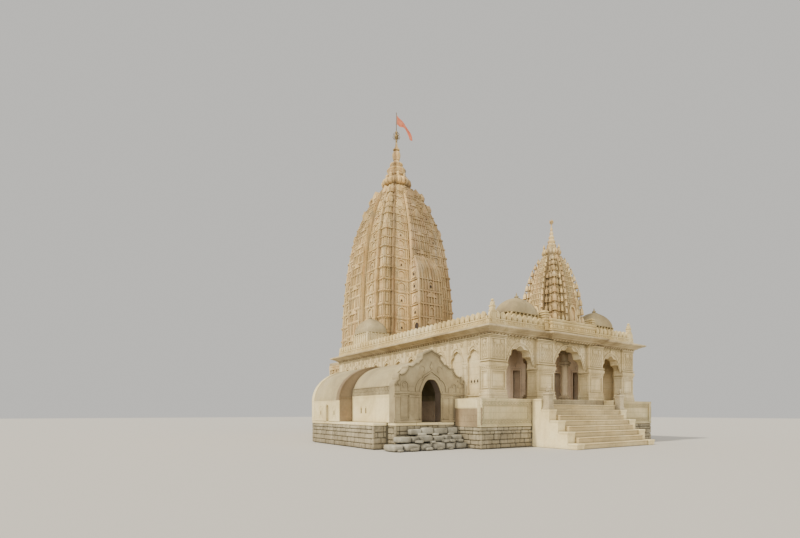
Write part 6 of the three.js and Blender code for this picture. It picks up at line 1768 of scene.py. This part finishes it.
def build_chambers():
    # front chamber: outer wall with two vents, frieze and vault
    m = M("chamber_wall_front_plaster")
    fr = wall((-12.08, 0, 0), 3)
    holed(m, fr, 2.533, 6.847, 1.45, 3.0, -0.45, -0.012, ((3.68, .085, 1.95, 2.195), (4.23, .085, 1.95, 2.195)))
    for uc in (3.68, 4.23):
        for s in (-1, 1):
            m.ring(fr, [(uc + s * 0.035 + 0.06 * math.cos(t), 2.29 + 0.05 * math.sin(t)) for t in np.linspace(0.2, 2.94, 8)], [(uc + s * 0.035 + 0.085 * math.cos(t), 2.29 + 0.078 * math.sin(t)) for t in np.linspace(0.2, 2.94, 8)], -0.03, 0.0)
    m.box(fr, 2.56, 6.8, -0.05, 0.0, 1.45, 1.55, c=0.01)
    m.box(fr, 2.53, 6.85, -0.1, 0.0, 2.90, 2.995, c=0.012); m.box(fr, 2.53, 6.85, -0.1, -0.006, 2.84, 2.87)
    m.make(MAT["chamber"], ("chamber_wall_front",), "chamber_plaster")
    v = M("vault_front_plaster")
    vault(v, -9.615, 2.462, 1.95, 3.002, -6.845, -2.535)
    v.box(WORLD, -7.65, -7.152, 2.54, 6.84, 2.752, 3.06)
    v.make(MAT["vault"], ("vault_front",), "vault_plaster", smooth=True)
    p = M("vault_front_frieze")
    p.box(fr, 2.54, 6.84, -0.12, 0.012, 3.004, 3.05, c=0.01)
    p.box(fr, 2.54, 6.84, -0.16, -0.018, 3.235, 3.262); p.box(fr, 2.54, 6.84, -0.2, -0.045, 3.44, 3.48)
    n = 27
    for i in range(n):
        u = 2.54 + 4.3 * (i + 0.5) / n
        leaf(p, fr, u, 3.05, 0.064, 0.18, -0.06, 0.006)
        leaf(p, fr, u, 3.262, 0.058, 0.175, -0.09, -0.018)
        p.box(fr, u + 0.066, u + 0.088, -0.06, -0.004, 3.05, 3.12)
    # the frieze takes the darker portal plaster: painted shade between the hanging petals
    p.make(MAT["portal"], (), "vault_plaster")
    # rear chamber: front wall with its inner doorway, vault, end wall, outer wall
    xc, a = -10.065, 2.912
    body = [(-12.972, 1.45), (-12.972, 2.75)] + ellipse(xc, a, 2.2, 2.753, 40)[::-1] + [(-7.603, 2.75), (-7.603, 1.45)]
    f = M("rear_chamber_front_plaster")
    arch = pointed(-9.615, 0.45, 2.8, 3.35, 12)
    arch[0], arch[-1] = (-9.165 - 0.9, 2.8), (-9.165, 2.8)
    body2 = body[:1] + body[1:] + [(-9.165, 1.45)] + arch[::-1] + [(-10.065, 1.45)]
    f.prism(WORLD, body2, 2.135, 2.5)
    big, sm = ellipse(xc, a, 2.2, 2.753, 40), ellipse(xc, a - 0.07, 2.13, 2.753, 40)
    f.ring(WORLD, sm, big, 2.48, 2.528)
    f.ring(WORLD, [(-9.615 + (u + 9.615) * 1.0, z) for u, z in arch], [(-9.615 + (u + 9.615) * 1.2, 2.8 + (z - 2.8) * 1.2) for u, z in arch], 2.48, 2.52)
    f.box(WORLD, -12.966, -12.1, 2.4, 2.525, 2.90, 2.97, c=0.01); f.box(WORLD, -12.966, -12.1, 2.4, 2.515, 2.84, 2.87)
    f.box(WORLD, -12.966, -12.1, 2.4, 2.526, 1.455, 1.555, c=0.01)
    # its front wall takes the brown stone: painted shade on this shaded band
    f.make(MAT["painted_shade_brown"], ("rear_chamber_front_wall",), "portal_plaster")
    v = M("vault_rear_plaster")
    vault(v, xc, a, 2.2, 2.754, -2.125, 1.245, rows=20)
    v.make(MAT["vault"], ("vault_rear",), "vault_plaster", smooth=True)
    e = M("rear_chamber_end_plaster")
    e.prism(WORLD, body, -1.6, -1.255)
    fe = wall((0, 1.65, 0), 2)
    mir = lambda pts: [(-u, z) for u, z in pts]
    e.ring(fe, mir(sm), mir(big), -0.06, 0.0)
    for x0, x1 in ((7.615, 7.95), (12.62, 12.976)):
        e.box(fe, x0, x1, -0.05, -0.001, 1.455, 2.795)
    e.box(fe, 7.61, 12.98, -0.06, -0.005, 2.76, 2.86, c=0.01); e.box(fe, 7.61, 12.98, -0.06, -0.002, 1.45, 1.58, c=0.01)
    al = pointed(10.295, 0.8, 2.95, 3.9, 16)
    e.ring(fe, [(10.295 + (u - 10.295) * 0.92, 2.95 + (z - 2.95) * 0.92) for u, z in al], al, -0.06, -0.01)
    frame_rect(e, fe, 8.2, 10.0, 1.72, 2.64, -0.06, -0.015, 0.05); frame_rect(e, fe, 10.5, 12.4, 1.72, 2.64, -0.06, -0.015, 0.05)
    e.make(MAT["chamber"], ("rear_chamber_end_wall",), "chamber_plaster")
    r = M("chamber_wall_rear_plaster")
    fr = wall((-12.98, 0, 0), 3)
    holed(r, fr, -1.245, 2.125, 1.45, 2.75, -0.45, -0.012, ((0.80, .19, 1.45, 2.31), (1.8, .075, 1.85, 2.035), (-0.2, .075, 1.85, 2.035)))
    r.box(fr, -1.25, 2.53, -0.06, 0.0, 2.68, 2.748, c=0.01); r.box(fr, -1.25, 0.58, -0.05, 0.0, 1.45, 1.56, c=0.01); r.box(fr, 1.02, 2.53, -0.05, 0.0, 1.45, 1.56, c=0.01)
    r.box(fr, 2.125, 2.528, -0.05, -0.003, 1.45, 2.75)
    for uc, hw, zs in ((0.80, 0.31, 2.27), (1.8, 0.25, 2.2), (-0.2, 0.25, 2.2)):
        arc = [(uc + hw * math.cos(t), zs + hw * math.sin(t)) for t in np.linspace(math.pi, 0, 13)]
        arc = [(uc - hw, 1.62)] + arc + [(uc + hw, 1.62)]
        r.ring(fr, [(uc + (u - uc) * 0.87, 1.62 + (z - 1.62) * 0.96) for u, z in arc], arc, -0.03, 0.0)
    for uc in (1.8, -0.2):
        r.prism(fr, [(uc - 0.1, 2.14), (uc + 0.1, 2.14), (uc, 2.34)], -0.03, 0.0)
        r.box(fr, uc - 0.13, uc + 0.13, -0.03, 0.0, 1.76, 1.80)
    r.make(MAT["chamber"], ("chamber_wall_rear",), "chamber_plaster")
    i = M("chamber_inner_plaster")
    i.box(WORLD, -7.59, -7.153, -1.645, 6.845, 1.45, 2.745)
    fi = wall((-7.6, 0, 0), 3)
    i.box(fi, -1.64, 6.84, -0.05, 0.0, 1.45, 1.6); i.box(fi, -1.64, 6.84, -0.05, 0.0, 2.6, 2.7)
    for k in range(5):
        frame_rect(i, fi, -1.2 + 1.62 * k, 0.1 + 1.62 * k, 1.72, 2.5, -0.05, 0.0, 0.04)
    # the chambers' inner wall takes the near-white inner plaster: painted light on a shaded face
    i.make(MAT["inner"], ("chamber_inner_wall",), "chamber_plaster")
    # the platform under the chambers
    c, l, fl = M("chamber_plinth_rough_stone"), M("chamber_plinth_ledge"), M("chamber_floor_paving")
    c.box(WORLD, -11.96, -7.17, -1.53, 7.33, 0.0, 1.36); c.box(WORLD, -12.86, -11.9, -1.53, 6.53, 0.0, 1.36)
    for o, q, u0, u1 in (((0, -7.45, 0), 0, -12.08, -7.96), ((-12.08, 0, 0), 3, 6.65, 7.45), ((0, -6.65, 0), 0, -12.98, -12.08), ((-12.98, 0, 0), 3, -1.65, 6.65), ((0, 1.65, 0), 2, 7.16, 12.98)):
        fq = wall(o, q)
        rubble(c, fq, u0, u1, 0.0, 1.28)
        edge_slabs(l, fq, u0, u1, -0.002 * (q + 1), 1.28, 1.45 - 0.001 * (q + 1), 0.5, 1.6, 0.03, 0.02)
    l.box(WORLD, -12.6, -12.06, -1.2, 6.5, 1.3, 1.438)
    paving(fl, -11.6, -7.62, -6.93, 1.2, 1.447)
    c.make(MAT["rubble"], ("chamber_plinth",), "plinth_stone"); l.make(MAT["chamber"], (), "plinth_stone"); fl.make(MAT["floor"], (), "plinth_stone")
    # rough slabs in front of the portal
    s = M("portal_step_slabs")
    for (z0, z1, yb, yf, xa, xb, nn) in ((0.0, 0.40, -7.47, -8.69, -12.9, -7.98, 6), (0.40, 0.79, -7.47, -8.29, -12.3, -7.98, 6), (0.79, 1.18, -7.47, -7.89, -11.35, -7.98, 4)):
        cuts = np.linspace(xa, xb, nn + 1); cuts[1:-1] += rng.uniform(-0.16, 0.16, nn - 1)
        for a_, b_ in zip(cuts[:-1], cuts[1:]):
            back = rng.uniform(0, 0.1)
            ry = (abs(yf - yb) - back) / 2
            k = rng.uniform(0.8, 1.0)
            boulder(s, (a_ + b_) / 2, yb - ry, z0 + (z1 - z0) * k / 2, (b_ - a_) / 2 - 0.012, ry, (z1 - z0) * k / 2, 28, 13, 0.34, 0.07)
            for _ in range(2):
                if rng.uniform() < 0.5:
                    x = rng.uniform(a_ + 0.2, b_ - 0.2); rr = rng.uniform(0.1, 0.2)
                    boulder(s, x, min(yf + rr * 0.4, -8.69 + rr), max(z0 + rr * 0.4, rr * 0.45), rr * 1.3, rr, rr * 0.45, 12, 8, 0.5, 0.1)
    s.make(MAT["rough"], ("portal_steps",), "plinth_stone", smooth=True)


def build_flag():
    m = M("pennant_cloth")
    up = np.array([(.055, 31.84), (.45, 31.58), (.86, 31.36), (1.33, 30.98), (1.60, 30.66), (1.78, 30.36), (1.98, 29.83)])
    lo = np.array([(.055, 30.92), (.44, 30.82), (.85, 30.86), (1.31, 30.54), (1.44, 30.30), (1.49, 30.10), (1.54, 29.79)])
    def along(c, s):
        d = np.concatenate([[0], np.cumsum(np.hypot(*np.diff(c, axis=0).T))]); d /= d[-1]
        # smooth the corners a little
        f = lambda v: np.array([np.interp(v, d, c[:, 0]), np.interp(v, d, c[:, 1])])
        return sum(f(min(max(s + k, 0), 1)) for k in (-0.06, -0.03, 0, 0.03, 0.06)) / 5 if 0 < s < 1 else f(s)
    nu, nv = 60, 16
    P = np.zeros((nu + 1, nv + 1, 3))
    for i in range(nu + 1):
        s = i / nu
        a, b = along(lo, s), along(up, s)
        for j in range(nv + 1):
            t = j / nv
            p = a + (b - a) * t
            y = 11.05 + min(1, s * 5) * (0.055 * math.sin(s * 11 + t * 1.8) + 0.03 * math.sin(t * 7 + s * 5))
            P[i, j] = (p[0], y, p[1])
    m.grid(P)
    o = m.make(MAT["cloth"], ("pennant",), "flag_cloth", smooth=True)
    area = 0.0
    for i in range(nu):
        for j in range(nv):
            a, b, c, d = P[i, j], P[i + 1, j], P[i + 1, j + 1], P[i, j + 1]
            area += 0.5 * np.linalg.norm(np.cross(b - a, c - a)) + 0.5 * np.linalg.norm(np.cross(c - a, d - a))
    L = float(sum(np.linalg.norm(P[i + 1, nv // 2] - P[i, nv // 2]) for i in range(nu)))
    print("flag", round(L, 2), "m long,", round(float(area), 2), "m2")


build_portal()
build_chambers()
build_flag()


# ------------------------------------------------------------------ view
def setup():
    sc = bpy.context.scene
    cam = bpy.data.cameras.new("view"); cam.sensor_width = 36; cam.lens = 21.15
    cam.shift_x = 0.0; cam.shift_y = 0.1788; cam.clip_end = 400
    co = bpy.data.objects.new("view", cam); sc.collection.objects.link(co)
    co.location = (-25.655, -28.516, 2.03)
    co.rotation_euler = (math.radians(90), 0, math.radians(-33.4))
    sc.camera = co
    # sun: from the left and a little behind, about 45 degrees up
    s = bpy.data.lights.new("sun", "SUN"); s.energy = 3.7; s.angle = math.radians(3.0); s.color = (1.0, 0.92, 0.76)
    so = bpy.data.objects.new("sun", s); sc.collection.objects.link(so)
    d = np.array([-0.88, 0.10, 0.80])
    import mathutils
    so.rotation_euler = mathutils.Vector(tuple(d)).to_track_quat("Z", "Y").to_euler()
    # weak broad fill from the viewer's side
    a = bpy.data.lights.new("fill", "SUN"); a.energy = 2.2; a.angle = math.radians(45); a.color = (1.0, 0.94, 0.82)
    ao = bpy.data.objects.new("fill", a); sc.collection.objects.link(ao)
    ao.rotation_euler = mathutils.Vector((-0.60, -0.80, 0.34)).to_track_quat("Z", "Y").to_euler()
    w = bpy.data.worlds.new("studio"); sc.world = w; w.use_nodes = True
    bg = w.node_tree.nodes["Background"]; bg.inputs[0].default_value = (0.95, 0.93, 0.88, 1); bg.inputs[1].default_value = 0.72
    # plain pale floor
    me = bpy.data.meshes.new("studio_floor")
    me.from_pydata([(-160, -160, -0.02), (160, -160, -0.02), (160, 160, -0.02), (-160, 160, -0.02)], [], [(0, 1, 2, 3)])
    fo = bpy.data.objects.new("studio_floor", me); sc.collection.objects.link(fo)
    fm = bpy.data.materials.new("studio_floor"); fm.use_nodes = True
    b = fm.node_tree.nodes["Principled BSDF"]; b.inputs["Base Color"].default_value = (0.58, 0.56, 0.52, 1); b.inputs["Roughness"].default_value = 0.95
    me.materials.append(fm)
    return sc


setup()
print("triangles", sum(TRIS.values()), sorted(TRIS.items(), key=lambda t: -t[1])[:12])
